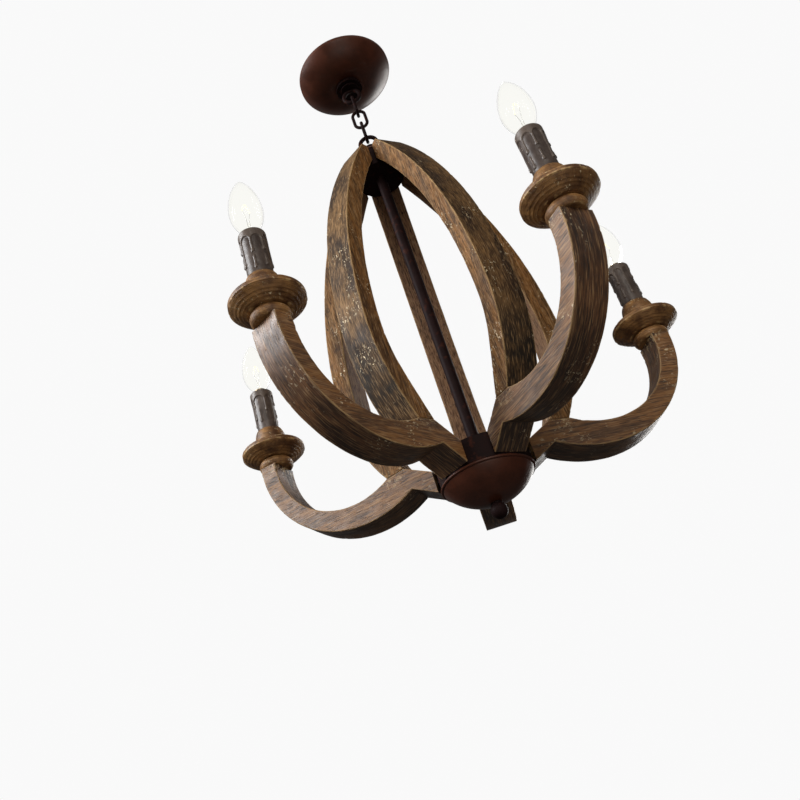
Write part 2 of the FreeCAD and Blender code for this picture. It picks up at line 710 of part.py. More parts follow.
# Dowels: two in the seam of each arm and rib
dowels = []
for letter, turn in zip(ARM_LETTERS, ARM_TURNS):
    for side in (-1, 1):
        offset = side * dims.dowel_offset
        x = dims.dowel_reach * cosine(turn) - offset * sine(turn)
        y = dims.dowel_reach * sine(turn) + offset * cosine(turn)
        z = dims.seam_height - dims.dowel_depth
        dowels.append(cylinder(f"dowel_{letter}", dims.dowel_radius, 2 * dims.dowel_depth, x, y, z))
keep(group("rib_dowels", dowels), "rib_dowels", HUB_RIM)


# Collar: a turned wooden disc with a rounded side
def arm_collar(name):
    hole = dims.stud_radius + dims.stud_clear
    side = arc_radius(dims.collar_height / 2, dims.collar_radius - dims.collar_flat)
    corners = [
        (hole, 0),
        (dims.collar_flat, 0),
        (dims.collar_flat, dims.collar_height),
        (hole, dims.collar_height),
    ]
    return turned(name, corners, {1: (side, True)})


# Bobeche: drip pan and bell boss, turned in one piece
def bobeche(name):
    hole = dims.stud_radius + dims.stud_clear
    rim_top = dims.pan_rise + dims.pan_rim
    half_underside = root(square(dims.pan_radius - dims.pan_foot) + square(dims.pan_rise)) / 2
    underside = arc_radius(half_underside, dims.pan_bulge)
    boss_side = arc_radius(dims.boss_height - dims.boss_shoulder, dims.boss_radius - dims.boss_flat)
    corners = [
        (hole, 0),
        (dims.pan_foot, 0),
        (dims.pan_radius, dims.pan_rise),
        (dims.pan_radius, rim_top - dims.rim_round),
        (dims.pan_radius - dims.rim_round, rim_top),
        (dims.floor_radius, dims.pan_floor),
        (dims.boss_radius, dims.pan_floor),
        (dims.boss_radius, dims.boss_shoulder),
        (dims.boss_flat, dims.boss_height),
        (hole, dims.boss_height),
    ]
    arcs = {
        1: (underside, True),
        3: (dims.rim_round, True),
        4: (dims.dish_radius, False),
        7: (boss_side, True),
    }
    return turned(name, corners, arcs)


# Candle sleeve: a tube with a thick wax rim and runs of wax down its side
def candle_sleeve(name):
    wax_low = dims.sleeve_height - dims.wax_height
    wax_edge = dims.sleeve_height - dims.wax_round
    corners = [
        (dims.sleeve_bore, 0),
        (dims.sleeve_radius, 0),
        (dims.sleeve_radius, wax_low - dims.wax_slope),
        (dims.wax_radius, wax_low),
        (dims.wax_radius, wax_edge),
        (dims.wax_lip, dims.sleeve_height),
        (dims.sleeve_bore, dims.sleeve_height),
    ]
    blank = turned(f"{name}_blank", corners, {4: (dims.wax_round * 1.2, True)})
    pieces = [blank]
    count = int(dims.run_count.number)
    for index in range(count):
        length = dims.short_run if index % 2 else dims.long_run
        angle = index * 360 / count
        x = dims.run_reach * cosine(angle)
        y = dims.run_reach * sine(angle)
        z = dims.sleeve_height - dims.run_top - length
        pieces.append(cylinder(f"{name}_run", dims.run_radius, length, x, y, z))
        drop = doc.addObject("Part::Sphere", f"{name}_drop")
        bind(drop, Radius=dims.run_radius)
        place(drop, x, y, z)
        pieces.append(drop)
    bore = cylinder(f"{name}_bore", dims.sleeve_bore, dims.sleeve_height)
    return cut(name, fuse(f"{name}_waxed", pieces), bore)


# Lamp holder: a threaded foot, and a well for the bulb's cap
def lamp_holder(name):
    thread = dims.stud_radius + dims.stud_fit
    well = dims.lamp_cap_radius + dims.lamp_cap_fit
    well_low = dims.holder_height - dims.holder_well
    corners = [
        (0, dims.nipple_grip),
        (thread, dims.nipple_grip),
        (thread, 0),
        (dims.holder_foot_radius, 0),
        (dims.holder_foot_radius, dims.holder_foot),
        (dims.holder_radius, dims.holder_foot),
        (dims.holder_radius, dims.holder_height),
        (well, dims.holder_height),
        (well, well_low),
        (0, well_low),
    ]
    return turned(name, corners)


# Bulb base: a contact, a screw cap and the flange that holds the glass
def bulb_base(name):
    flange_high = FLANGE_LOW + dims.flange_height
    cup = dims.glass_neck + dims.glass_fit
    cup_floor = flange_high - dims.flange_cup
    corners = [
        (0, 0),
        (dims.contact_radius, 0),
        (dims.contact_radius, dims.contact_height),
        (dims.lamp_cap_radius, dims.contact_height + dims.cap_taper),
        (dims.lamp_cap_radius, FLANGE_LOW),
        (dims.flange_radius, FLANGE_LOW),
        (dims.flange_radius, flange_high),
        (cup, flange_high),
        (cup, cup_floor),
        (0, cup_floor),
    ]
    return turned(name, corners)


# Bulb glass: a hollow candle flame with a straight neck, a round belly and a blunt tip
def bulb_glass(name):
    flange_high = FLANGE_LOW + dims.flange_height
    foot = flange_high - dims.flange_cup + dims.glass_fit
    belly_low = flange_high + dims.seat_gap
    inner_neck = dims.glass_neck - dims.glass_wall
    belly = arc_radius(dims.glass_wide - belly_low, dims.glass_radius - dims.glass_neck)
    inner_belly = belly - dims.glass_wall
    belly_centre = dims.glass_radius - belly
    inner_low = dims.glass_wide - root(square(inner_belly) - square(inner_neck - belly_centre))
    flame = arc_radius(dims.glass_shoulder - dims.glass_wide, dims.glass_radius)
    reach = dims.glass_tip - dims.glass_radius + flame
    rise = root(square(flame) - square(reach))
    tip_bend = dims.glass_tip * flame / reach
    tip_top = dims.glass_wide + rise - tip_bend * rise / flame + tip_bend
    inner_tip = dims.glass_tip - dims.glass_wall * reach / flame
    inner_tip_height = dims.glass_wide + rise - dims.glass_wall * rise / flame
    corners = [
        (inner_neck, foot),
        (dims.glass_neck, foot),
        (dims.glass_neck, belly_low),
        (dims.glass_radius, dims.glass_wide),
        (dims.glass_tip, dims.glass_wide + rise),
        (0, tip_top),
        (0, tip_top - dims.glass_wall),
        (inner_tip, inner_tip_height),
        (dims.glass_radius - dims.glass_wall, dims.glass_wide),
        (inner_neck, inner_low),
    ]
    arcs = {
        2: (belly, True),
        3: (flame, True),
        4: (tip_bend, True),
        6: (tip_bend - dims.glass_wall, False),
        7: (flame - dims.glass_wall, False),
        8: (inner_belly, False),
    }
    return turned(name, corners, arcs)


CANDLE_STACK = [
    ("arm_collar", arm_collar, COLLAR_LOW),
    ("bobeche", bobeche, PAN_LOW),
    ("candle_sleeve", candle_sleeve, SLEEVE_LOW),
    ("lamp_holder", lamp_holder, SLEEVE_LOW),
    ("bulb_base", bulb_base, BULB_LOW),
    ("bulb_glass", bulb_glass, BULB_LOW),
]
for letter, turn in zip(ARM_LETTERS, ARM_TURNS):
    for kind, make, height in CANDLE_STACK:
        name = f"{kind}_{letter}"
        keep(make(name), name, HUB_RIM + height, turn, dims.candle_reach)

# Nipples: a threaded tube up through each candle stack
nipple_low = dims.arm_top - dims.nipple_root
nipple_length = SLEEVE_LOW + dims.nipple_grip - dims.seat_gap - nipple_low
nipples = []
for letter, turn in zip(ARM_LETTERS, ARM_TURNS):
    x = dims.candle_reach * cosine(turn)
    y = dims.candle_reach * sine(turn)
    nipples.append(
        tube(f"nipple_{letter}", dims.stud_radius, dims.stud_bore, nipple_length, x, y, nipple_low)
    )
keep(group("candle_nipples", nipples), "candle_nipples", HUB_RIM)


# Rings and links, bent from round wire and standing in the XZ plane
def half_ring(name, bend, wire, sweep, height, way=1):
    torus = doc.addObject("Part::Torus", name)
    torus.Angle3 = sweep
    bind(torus, Radius1=bend, Radius2=wire)
    place(torus, 0, 0, height, FreeCAD.Rotation(V(1, 0, 0), 90 * way))
    return torus


def chain_link(name):
    pieces = []
    for way in (-1, 1):
        end_height = way * dims.link_straight / 2
        pieces.append(
            half_ring(f"{name}_bend", dims.link_bend, dims.link_wire, 180, end_height, way)
        )
        pieces.append(
            cylinder(
                f"{name}_side", dims.link_wire, dims.link_straight,
                way * dims.link_bend, 0, -dims.link_straight / 2,
            )
        )
    return fuse(name, pieces)


for index in range(LINK_COUNT):
    name = f"chain_link_{index + 1}"
    across = 0 if index % 2 else 90
    keep(chain_link(name), name, FIRST_LINK - index * LINK_DROP, across)

# Loop of the lamp: a boss screwed on the stud, and a ring above it
boss = cylinder("top_loop_boss", dims.loop_boss_radius, dims.loop_boss)
boss_thread = cylinder(
    "top_loop_thread", dims.stud_radius + dims.stud_fit, dims.loop_grip + dims.seat_gap
)
boss_ring = half_ring(
    "top_loop_ring", dims.ring_bend, dims.ring_wire, 360, dims.loop_boss + dims.ring_bend
)
top_loop = cut("top_loop", fuse("top_loop_blank", [boss, boss_ring]), boss_thread)
keep(top_loop, "top_loop", LOOP_SEAT)

# Loop of the canopy: a stem screwed into the strap, a threaded collar and a ring
loop_stem = cylinder("loop_stem", dims.stud_radius, dims.thread_top, z=-dims.thread_top)
loop_collar = cylinder(
    "loop_collar", dims.thread_radius, dims.thread_low - dims.thread_top, z=-dims.thread_low
)
loop_ring = half_ring("loop_ring", dims.ring_bend, dims.ring_wire, 360, CANOPY_RING)
keep(fuse("canopy_loop", [loop_stem, loop_collar, loop_ring]), "canopy_loop")

# Ring nut that holds the canopy up, on the loop's collar, with notches round it
ring_nut_low = -dims.seat_gap - dims.canopy_depth - dims.seat_gap - dims.ring_nut_height
ring_nut_blank = tube(
    "ring_nut_blank", dims.ring_nut_radius, dims.thread_radius + dims.stud_fit, dims.ring_nut_height
)
knurl_count = int(dims.knurl_count.number)
notches = []
for index in range(knurl_count):
    angle = index * 360 / knurl_count
    x = dims.ring_nut_radius * cosine(angle)
    y = dims.ring_nut_radius * sine(angle)
    notches.append(cylinder("ring_nut_notch", dims.knurl_radius, dims.ring_nut_height, x, y))
keep(cut("ring_nut", ring_nut_blank, fuse("ring_nut_notches", notches)), "ring_nut", ring_nut_low)


# Canopy: a spun dish with its rim up against the ceiling
def canopy():
    inside = dims.canopy_radius - dims.canopy_wall
    inner_floor = dims.canopy_wall - dims.canopy_depth
    slope = arc_radius(dims.canopy_radius - dims.canopy_flat, dims.canopy_depth - dims.canopy_rim)
    corners = [
        (dims.canopy_hole, -dims.canopy_depth),
        (dims.canopy_flat, -dims.canopy_depth),
        (dims.canopy_radius, -dims.canopy_rim),
        (dims.canopy_radius, 0),
        (inside, 0),
        (inside, -dims.canopy_rim),
        (dims.canopy_flat, inner_floor),
        (dims.canopy_hole, inner_floor),
    ]
    return turned("canopy", corners, {1: (slope, True), 5: (slope - dims.canopy_wall, False)})


keep(canopy(), "canopy", -dims.seat_gap)


# Mounting strap: a flat bar with two slots and a threaded hole for the loop's stem
def mounting_strap():
    body = doc.addObject("PartDesign::Body", "mounting_strap")
    half_length = dims.strap_length / 2
    half_width = dims.strap_width / 2
    bar_corners = [
        (-half_length, -half_width),
        (half_length, -half_width),
        (half_length, half_width),
        (-half_length, half_width),
    ]
    bar = body.newObject("PartDesign::Pad", "strap_bar")
    bar.Profile = outline(body, "XY_Plane", "strap_outline", bar_corners)
    bar.Reversed = True
    bind(bar, Length=dims.strap_thick)
    half_slot = dims.slot_width / 2
    straight = (dims.slot_length - dims.slot_width) / 2
    for side in (-1, 1):
        middle = side * dims.slot_spacing / 2
        slot_corners = [
            (middle - straight, -half_slot),
            (middle + straight, -half_slot),
            (middle + straight + half_slot, 0),
            (middle + straight, half_slot),
            (middle - straight, half_slot),
            (middle - straight - half_slot, 0),
        ]
        quarter = (half_slot, True)
        slot_arcs = {1: quarter, 2: quarter, 4: quarter, 5: quarter}
        slot = body.newObject("PartDesign::Pocket", "strap_slot")
        slot.Profile = outline(body, "XY_Plane", "slot_outline", slot_corners, slot_arcs)
        slot.Midplane = True
        bind(slot, Length=3 * dims.strap_thick)
    hole = dims.stud_radius + dims.stud_fit
    drill(body, "strap_hole", hole, 2 * dims.strap_thick, 0, 0, dims.strap_thick, DOWNWARDS)
    return body


keep(mounting_strap(), "mounting_strap")
strap_nut_low = -dims.strap_thick - dims.glue_line - dims.strap_nut_height
keep(nut("strap_nut", dims.strap_nut_height, 0), "strap_nut", strap_nut_low)

doc.recompute()

# Checks before anything is written
for thing in doc.Objects:
    if "Invalid" in thing.State or "Error" in thing.State:
        raise RuntimeError(f"{thing.Name} ({thing.Label}) is {thing.State}")
for piece in PARTS:
    if piece.Shape.isNull() or not piece.Shape.isValid():
        raise RuntimeError(f"{piece.Label} has no valid shape")

os.makedirs("parts", exist_ok=True)
for piece in PARTS:
    piece.Shape.exportStep(f"parts/{piece.Label}.step")
    box = piece.Shape.BoundBox
    print(
        f"{piece.Label}: {len(piece.Shape.Solids)} solids, volume {piece.Shape.Volume:.0f}, "
        f"reach {math.hypot(piece.Shape.CenterOfGravity.x, piece.Shape.CenterOfGravity.y):.1f}, "
        f"z {box.ZMin:.1f} to {box.ZMax:.1f}"
    )
print(len(PARTS), "nodes, hub rim at", levels.hub_rim)
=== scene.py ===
import math

import bmesh
import bpy
from mathutils import Matrix, Vector, noise


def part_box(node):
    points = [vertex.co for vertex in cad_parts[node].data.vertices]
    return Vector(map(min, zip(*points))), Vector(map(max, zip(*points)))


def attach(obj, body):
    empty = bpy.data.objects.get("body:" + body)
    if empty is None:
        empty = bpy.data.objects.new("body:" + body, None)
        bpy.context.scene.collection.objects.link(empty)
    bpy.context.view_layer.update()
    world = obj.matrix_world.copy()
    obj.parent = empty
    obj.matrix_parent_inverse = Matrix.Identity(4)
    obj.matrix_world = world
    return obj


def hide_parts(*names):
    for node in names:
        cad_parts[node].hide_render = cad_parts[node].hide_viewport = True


# Orb chandelier: weathered boards, turned wood, waxed candle sleeves and dark metal.
# Shapes are worked out in millimetres, in the lamp's own heights above its lower cap's rim.

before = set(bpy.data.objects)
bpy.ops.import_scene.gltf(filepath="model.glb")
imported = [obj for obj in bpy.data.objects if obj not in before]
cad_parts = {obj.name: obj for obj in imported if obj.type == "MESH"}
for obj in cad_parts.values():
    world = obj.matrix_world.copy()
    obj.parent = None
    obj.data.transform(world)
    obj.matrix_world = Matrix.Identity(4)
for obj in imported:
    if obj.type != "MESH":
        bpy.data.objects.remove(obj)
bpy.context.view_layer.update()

MM = 0.001
HUB_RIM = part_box("hub_cap")[1].z / MM
TOP_CAP_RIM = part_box("top_cap")[0].z / MM
ARMS = {letter: -126 + 72 * index for index, letter in enumerate("abcde")}
CANDLE_REACH = 242.7


# Small helpers for outlines, in millimetres
def line(start, end, steps):
    """Points from start up to, but not including, end."""
    return [
        (start[0] + (end[0] - start[0]) * i / steps, start[1] + (end[1] - start[1]) * i / steps)
        for i in range(steps)
    ]


def arc(centre, radius, first, last, steps):
    """Points on an arc from one angle up to, but not including, another, in degrees."""
    points = []
    for i in range(steps):
        angle = math.radians(first + (last - first) * i / steps)
        points.append(
            (centre[0] + radius * math.cos(angle), centre[1] + radius * math.sin(angle))
        )
    return points


def angle_of(centre, point):
    return math.degrees(math.atan2(point[1] - centre[1], point[0] - centre[0]))


def arc_radius(half_chord, rise):
    return (half_chord ** 2 + rise ** 2) / (2 * rise)


def half_chord_at(radius, away):
    """Half of a circle's width at a distance from its centre."""
    return math.sqrt(radius ** 2 - away ** 2)


def bulging(start, end, rise, steps):
    """An arc from start to end that bulges to the right of the way by rise."""
    across = Vector((end[0] - start[0], end[1] - start[1]))
    radius = arc_radius(across.length / 2, rise)
    side = Vector((-across.y, across.x)).normalized()
    middle = Vector(((start[0] + end[0]) / 2, (start[1] + end[1]) / 2))
    centre = middle + side * (radius - rise)
    first = angle_of(centre, start)
    last = angle_of(centre, end)
    while last < first:
        last += 360
    return arc(centre, radius, first, last, steps)


def smooth_step(value, low, high):
    amount = min(max((value - low) / (high - low), 0), 1)
    return amount * amount * (3 - 2 * amount)


def rough(x, y, z):
    """Smooth noise between -1 and 1."""
    return noise.noise(Vector((x, y, z)))


# Mesh pieces
def add_piece(name, vertices, faces, material, body, nodes, sharp, matrix, facts=None):
    """Makes a shaded mesh from points in millimetres, which stands for some CAD nodes. A piece
    of its own gets the name of a slot in place of nodes, which is not used. Edges are sharp
    from that angle, and facts are values at each point for the material."""
    mesh = bpy.data.meshes.new(name)
    mesh.from_pydata([Vector(v) * MM for v in vertices], [], faces)
    for fact, values in (facts or {}).items():
        kind = "FLOAT_VECTOR" if isinstance(values[0], tuple) else "FLOAT"
        attribute = mesh.attributes.new(fact, kind, "POINT")
        if kind == "FLOAT":
            attribute.data.foreach_set("value", values)
        else:
            attribute.data.foreach_set("vector", [c for value in values for c in value])
    mesh.transform(matrix)
    work = bmesh.new()
    work.from_mesh(mesh)
    bmesh.ops.remove_doubles(work, verts=work.verts, dist=1e-6)
    bmesh.ops.recalc_face_normals(work, faces=work.faces)
    work.to_mesh(mesh)
    work.free()
    mesh.shade_smooth()
    mesh.set_sharp_from_angle(angle=math.radians(sharp))
    mesh.materials.append(material)
    piece = bpy.data.objects.new(name, mesh)
    bpy.context.scene.collection.objects.link(piece)
    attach(piece, body)
    if isinstance(nodes, str):
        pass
    else:
        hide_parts(*nodes)
    return piece


def lathe(profile, sides, change=None):
    """Vertices and faces of a closed profile of (radius, height) pairs, turned round Z.
    change gives a new radius and height from the radius, the height and the angle."""
    vertices = []
    faces = []
    count = len(profile)
    for i in range(sides):
        angle = 2 * math.pi * i / sides
        for radius, height in profile:
            if change is not None:
                radius, height = change(radius, height, angle)
            vertices.append((radius * math.cos(angle), radius * math.sin(angle), height))
    for i in range(sides):
        following = (i + 1) % sides
        for j in range(count):
            after = (j + 1) % count
            faces.append(
                (i * count + j, following * count + j, following * count + after, i * count + after)
            )
    return vertices, faces


def standing(turn, reach, height):
    """Where a candle's piece stands: turned with its arm, at a reach and at a height."""
    return (
        Matrix.Rotation(math.radians(turn), 4, "Z")
        @ Matrix.Translation(Vector((reach, 0, height)) * MM)
    )


# Node helpers
class Shader:
    """A material or a world under construction, with short calls for its nodes."""

    def __init__(self, name, home=bpy.data.materials):
        self.material = home.new(name)
        self.material.use_nodes = True
        self.tree = self.material.node_tree

    def node(self, kind, inputs=None, **settings):
        made = self.tree.nodes.new(kind)
        for key, value in settings.items():
            setattr(made, key, value)
        for key, value in (inputs or {}).items():
            self.give(made.inputs[key], value)
        return made

    def give(self, socket, value):
        if isinstance(value, bpy.types.NodeSocket):
            self.tree.links.new(value, socket)
        else:
            socket.default_value = value

    def attribute(self, name):
        return self.node("ShaderNodeAttribute", attribute_name=name)

    def stretched(self, vector, scale, offset=(0, 0, 0)):
        inputs = {"Vector": vector, "Scale": scale, "Location": offset}
        return self.node("ShaderNodeMapping", inputs).outputs["Vector"]

    def noise(self, vector, scale=1.0, detail=3.0, roughness=0.55, distortion=0.0):
        inputs = {
            "Vector": vector,
            "Scale": scale,
            "Detail": detail,
            "Roughness": roughness,
            "Distortion": distortion,
        }
        return self.node("ShaderNodeTexNoise", inputs).outputs["Fac"]

    def remap(self, value, low, high, to_low=0.0, to_high=1.0):
        inputs = {
            "Value": value,
            "From Min": low,
            "From Max": high,
            "To Min": to_low,
            "To Max": to_high,
        }
        return self.node("ShaderNodeMapRange", inputs).outputs["Result"]

    def maths(self, operation, first, second):
        made = self.node("ShaderNodeMath", operation=operation)
        self.give(made.inputs[0], first)
        self.give(made.inputs[1], second)
        return made.outputs[0]

    def mix(self, factor, first, second):
        made = self.node("ShaderNodeMix", data_type="RGBA")
        self.give(made.inputs[0], factor)
        self.give(made.inputs[6], first)
        self.give(made.inputs[7], second)
        return made.outputs[2]

    def bump(self, height, strength, distance, normal=None):
        inputs = {"Height": height, "Strength": strength, "Distance": distance}
        if normal is not None:
            inputs["Normal"] = normal
        return self.node("ShaderNodeBump", inputs).outputs["Normal"]

    def finish(self, **inputs):
        names = {
            "color": "Base Color",
            "roughness": "Roughness",
            "metallic": "Metallic",
            "normal": "Normal",
            "specular": "Specular IOR Level",
            "transmission": "Transmission Weight",
            "ior": "IOR",
            "glow": "Emission Color",
            "glow_strength": "Emission Strength",
        }
        surface = self.tree.nodes["Principled BSDF"]
        for key, value in inputs.items():
            self.give(surface.inputs[names[key]], value)
        return self.material


def shade(red, green, blue):
    """A colour as the eye names it, 0 to 255, turned into the light that a shader works in."""
    values = []
    for channel in (red, green, blue):
        part = channel / 255
        values.append(part / 12.92 if part <= 0.04045 else ((part + 0.055) / 1.055) ** 2.4)
    return (*values, 1.0)


# Weathered board: fine fibres, gold on the sides, outer faces darker low down, old paint, worn
# places
def board_wood(name, dark, middle, gold, roughness, specular, along, paint, calm_and_painted_lift):
    """along sets how short the fibres are, paint how little old paint is left, and
    calm_and_painted_lift how much plainer the board's inner face is and how much paler, as painted
    light."""
    wood = Shader(name)
    grain = wood.attribute("grain").outputs["Vector"]
    side = wood.attribute("side").outputs["Fac"]
    edge = wood.attribute("edge").outputs["Fac"]
    darkening = wood.attribute("darkening").outputs["Fac"]
    wear = wood.attribute("wear").outputs["Fac"]
    plain_and_painted_lift = wood.maths("MULTIPLY", wood.attribute("inside").outputs["Fac"], calm_and_painted_lift)
    tone = wood.noise(wood.stretched(grain, (14, 30, 30)), detail=4)
    streak = wood.noise(wood.stretched(grain, (8, 150, 150)), detail=4, roughness=0.6)
    fibre = wood.noise(wood.stretched(grain, (along, 850, 850)), detail=2, roughness=0.6)
    pore = wood.noise(wood.stretched(grain, (along * 1.4, 900, 900), (3, 1, 2)), detail=1)
    cloud = wood.noise(wood.stretched(grain, (1, 1, 1), (4, 2, 7)), scale=60, detail=6)
    color = wood.mix(wood.remap(tone, 0.4, 0.6), dark, middle)
    color = wood.mix(wood.remap(streak, 0.48, 0.34, 0.0, 0.6), color, shade(42, 28, 18))
    golden = wood.maths("MULTIPLY", side, wood.remap(streak, 0.44, 0.6, 0.25, 0.85))
    color = wood.mix(golden, color, gold)
    # Outer faces darker low down: painted shade on the arms, where they face down, and darker on
    # the lower ribs
    darkened = wood.maths("MULTIPLY", darkening, wood.remap(cloud, 0.36, 0.62, 1.0, 0.5))
    color = wood.mix(darkened, color, shade(40, 34, 27))
    # Inner faces painted paler, as painted light, and with plainer grain
    color = wood.mix(plain_and_painted_lift, color, shade(150, 114, 88))
    # Fibres, pale where raised and dark where open
    color = wood.mix(wood.remap(fibre, 0.5, 0.33, 0.0, 0.75), color, shade(34, 23, 15))
    color = wood.mix(wood.remap(fibre, 0.53, 0.69, 0.0, 0.55), color, shade(178, 144, 104))
    open_pore = wood.remap(pore, 0.63, 0.7, 0.0, 0.85)
    color = wood.mix(open_pore, color, shade(22, 14, 9))
    # Cream paint left in clusters of specks and short flecks, thicker where it is worn
    where = wood.remap(wood.noise(grain, scale=24, detail=3), paint, paint + 0.1)
    where = wood.maths("MAXIMUM", where, wood.maths("MULTIPLY", wear, 0.8))
    where = wood.maths("MULTIPLY", where, wood.maths("SUBTRACT", 1, plain_and_painted_lift))
    specks = wood.noise(wood.stretched(grain, (240, 420, 420)), detail=2, distortion=0.8)
    specks = wood.maths("MULTIPLY", wood.remap(specks, 0.62, 0.65), where)
    color = wood.mix(specks, color, shade(238, 220, 184))
    # Chips and dark hollows where the boards are worn
    flake = wood.noise(grain, scale=210, detail=3, distortion=0.5)
    chipped = wood.maths("MULTIPLY", wear, wood.remap(flake, 0.56, 0.62))
    color = wood.mix(chipped, color, shade(214, 190, 150))
    hollow = wood.maths("MULTIPLY", wear, wood.remap(flake, 0.43, 0.38))
    color = wood.mix(hollow, color, shade(24, 15, 10))
    # Thin pale lines where the edges are rubbed, broken by dark gaps
    broken = wood.noise(grain, scale=120, detail=4)
    worn = wood.maths("MULTIPLY", edge, wood.remap(broken, 0.44, 0.52, 0.0, 0.85))
    color = wood.mix(worn, color, shade(212, 174, 122))
    gap = wood.maths("MULTIPLY", edge, wood.remap(broken, 0.41, 0.35, 0.0, 0.8))
    color = wood.mix(gap, color, shade(30, 19, 12))
    height = wood.maths("ADD", fibre, wood.maths("MULTIPLY", specks, 0.5))
    height = wood.maths("SUBTRACT", height, wood.maths("MULTIPLY", open_pore, 0.5))
    height = wood.maths("SUBTRACT", height, hollow)
    normal = wood.bump(height, 0.6, 0.0006)
    normal = wood.bump(streak, 0.35, 0.0012, normal)
    gloss = wood.remap(cloud, 0.35, 0.65, roughness, roughness + 0.16)
    return wood.finish(color=color, roughness=gloss, normal=normal, specular=specular)


# Turned wood: golden brown, with fine reddish and dark rings
def turned_wood():
    wood = Shader("turned_wood")
    grain = wood.attribute("grain").outputs["Vector"]
    ring = wood.attribute("ring").outputs["Fac"]
    edge = wood.attribute("edge").outputs["Fac"]
    cloud = wood.noise(grain, scale=60, detail=5)
    fibre = wood.noise(wood.stretched(grain, (60, 420, 420)), detail=4, roughness=0.7)
    rings = wood.node(
        "ShaderNodeTexNoise",
        {"W": wood.maths("MULTIPLY", ring, 700), "Detail": 3},
        noise_dimensions="1D",
    ).outputs["Fac"]
    color = wood.mix(wood.remap(cloud, 0.35, 0.65), shade(94, 62, 32), shade(180, 134, 82))
    color = wood.mix(wood.remap(rings, 0.52, 0.68, 0.0, 0.6), color, shade(104, 56, 28))
    color = wood.mix(wood.remap(rings, 0.46, 0.34, 0.0, 0.6), color, shade(52, 34, 20))
    color = wood.mix(wood.remap(fibre, 0.48, 0.32, 0.0, 0.6), color, shade(56, 38, 22))
    specks = wood.noise(grain, scale=320, detail=3, distortion=0.6)
    where = wood.remap(wood.noise(grain, scale=34, detail=2), 0.5, 0.62)
    specks = wood.maths("MULTIPLY", wood.remap(specks, 0.63, 0.67), where)
    color = wood.mix(specks, color, shade(232, 212, 172))
    broken = wood.remap(wood.noise(grain, scale=130, detail=4), 0.5, 0.6)
    worn = wood.maths("MULTIPLY", edge, broken)
    color = wood.mix(wood.maths("MULTIPLY", worn, 0.8), color, shade(206, 172, 120))
    height = wood.maths("ADD", wood.maths("MULTIPLY", rings, 0.6), fibre)
    normal = wood.bump(height, 0.5, 0.0007)
    return wood.finish(color=color, roughness=0.48, normal=normal, specular=0.4)


# Waxed sleeve: antiqued taupe brown with a soft gloss on the runs
def sleeve_wax():
    wax = Shader("antiqued_wax")
    grain = wax.attribute("grain").outputs["Vector"]
    coat = wax.attribute("edge").outputs["Fac"]
    cloud = wax.noise(grain, scale=70, detail=4)
    fine = wax.noise(wax.stretched(grain, (500, 500, 160)), detail=3)
    color = wax.mix(wax.remap(cloud, 0.35, 0.68), shade(66, 55, 50), shade(98, 86, 79))
    color = wax.mix(wax.remap(fine, 0.5, 0.3, 0.0, 0.5), color, shade(44, 34, 29))
    color = wax.mix(wax.maths("MULTIPLY", coat, 0.4), color, shade(122, 108, 97))
    normal = wax.bump(fine, 0.2, 0.0004)
    return wax.finish(color=color, roughness=0.4, normal=normal, specular=0.4)


# Painted metal: dark, slightly mottled bronze
def dark_metal(name, low, high, gloss, specular):
    metal = Shader(name)
    place = metal.node("ShaderNodeTexCoord").outputs["Object"]
    cloud = metal.noise(place, scale=38, detail=5, roughness=0.6)
    fine = metal.noise(place, scale=900, detail=2)
    color = metal.mix(metal.remap(cloud, 0.35, 0.68), low, high)
    rust = metal.remap(metal.noise(place, scale=120, detail=4), 0.58, 0.7, 0.0, 0.3)
    color = metal.mix(rust, color, shade(96, 48, 30))
    normal = metal.bump(fine, 0.12, 0.0003)
    roughness = metal.remap(cloud, 0.3, 0.7, gloss, gloss + 0.12)
    return metal.finish(color=color, roughness=roughness, normal=normal, specular=specular)


def plain_metal(name, color, roughness):
    metal = Shader(name)
    place = metal.node("ShaderNodeTexCoord").outputs["Object"]
    brushed = metal.noise(metal.stretched(place, (300, 300, 40)), detail=4)
    tint = metal.mix(metal.remap(brushed, 0.3, 0.7), color, shade(120, 116, 108))
    normal = metal.bump(brushed, 0.15, 0.0003)
    return metal.finish(color=tint, metallic=1.0, roughness=roughness, normal=normal)


def moulded_plastic():
    plastic = Shader("moulded_plastic")
    place = plastic.node("ShaderNodeTexCoord").outputs["Object"]
    grit = plastic.noise(place, scale=1500, detail=2)
    color = plastic.mix(grit, shade(30, 28, 27), shade(44, 42, 40))
    return plastic.finish(color=color, roughness=0.5, normal=plastic.bump(grit, 0.1, 0.0002))


def clear_glass():
    glass = Shader("clear_glass")
    place = glass.node("ShaderNodeTexCoord").outputs["Object"]
    ripple = glass.noise(place, scale=60, detail=1)
    return glass.finish(
        color=(1.0, 0.998, 0.975, 1),
        roughness=0.0,
        transmission=1.0,
        ior=1.05,
        normal=glass.bump(ripple, 0.05, 0.0005),
    )


def glowing_wire():
    wire = Shader("glowing_wire")
    place = wire.node("ShaderNodeTexCoord").outputs["Object"]
    along = wire.noise(place, scale=900, detail=1)
    color = wire.mix(along, shade(255, 226, 140), shade(255, 238, 160))
    return wire.finish(color=color, glow=color, glow_strength=1.6, roughness=0.5)


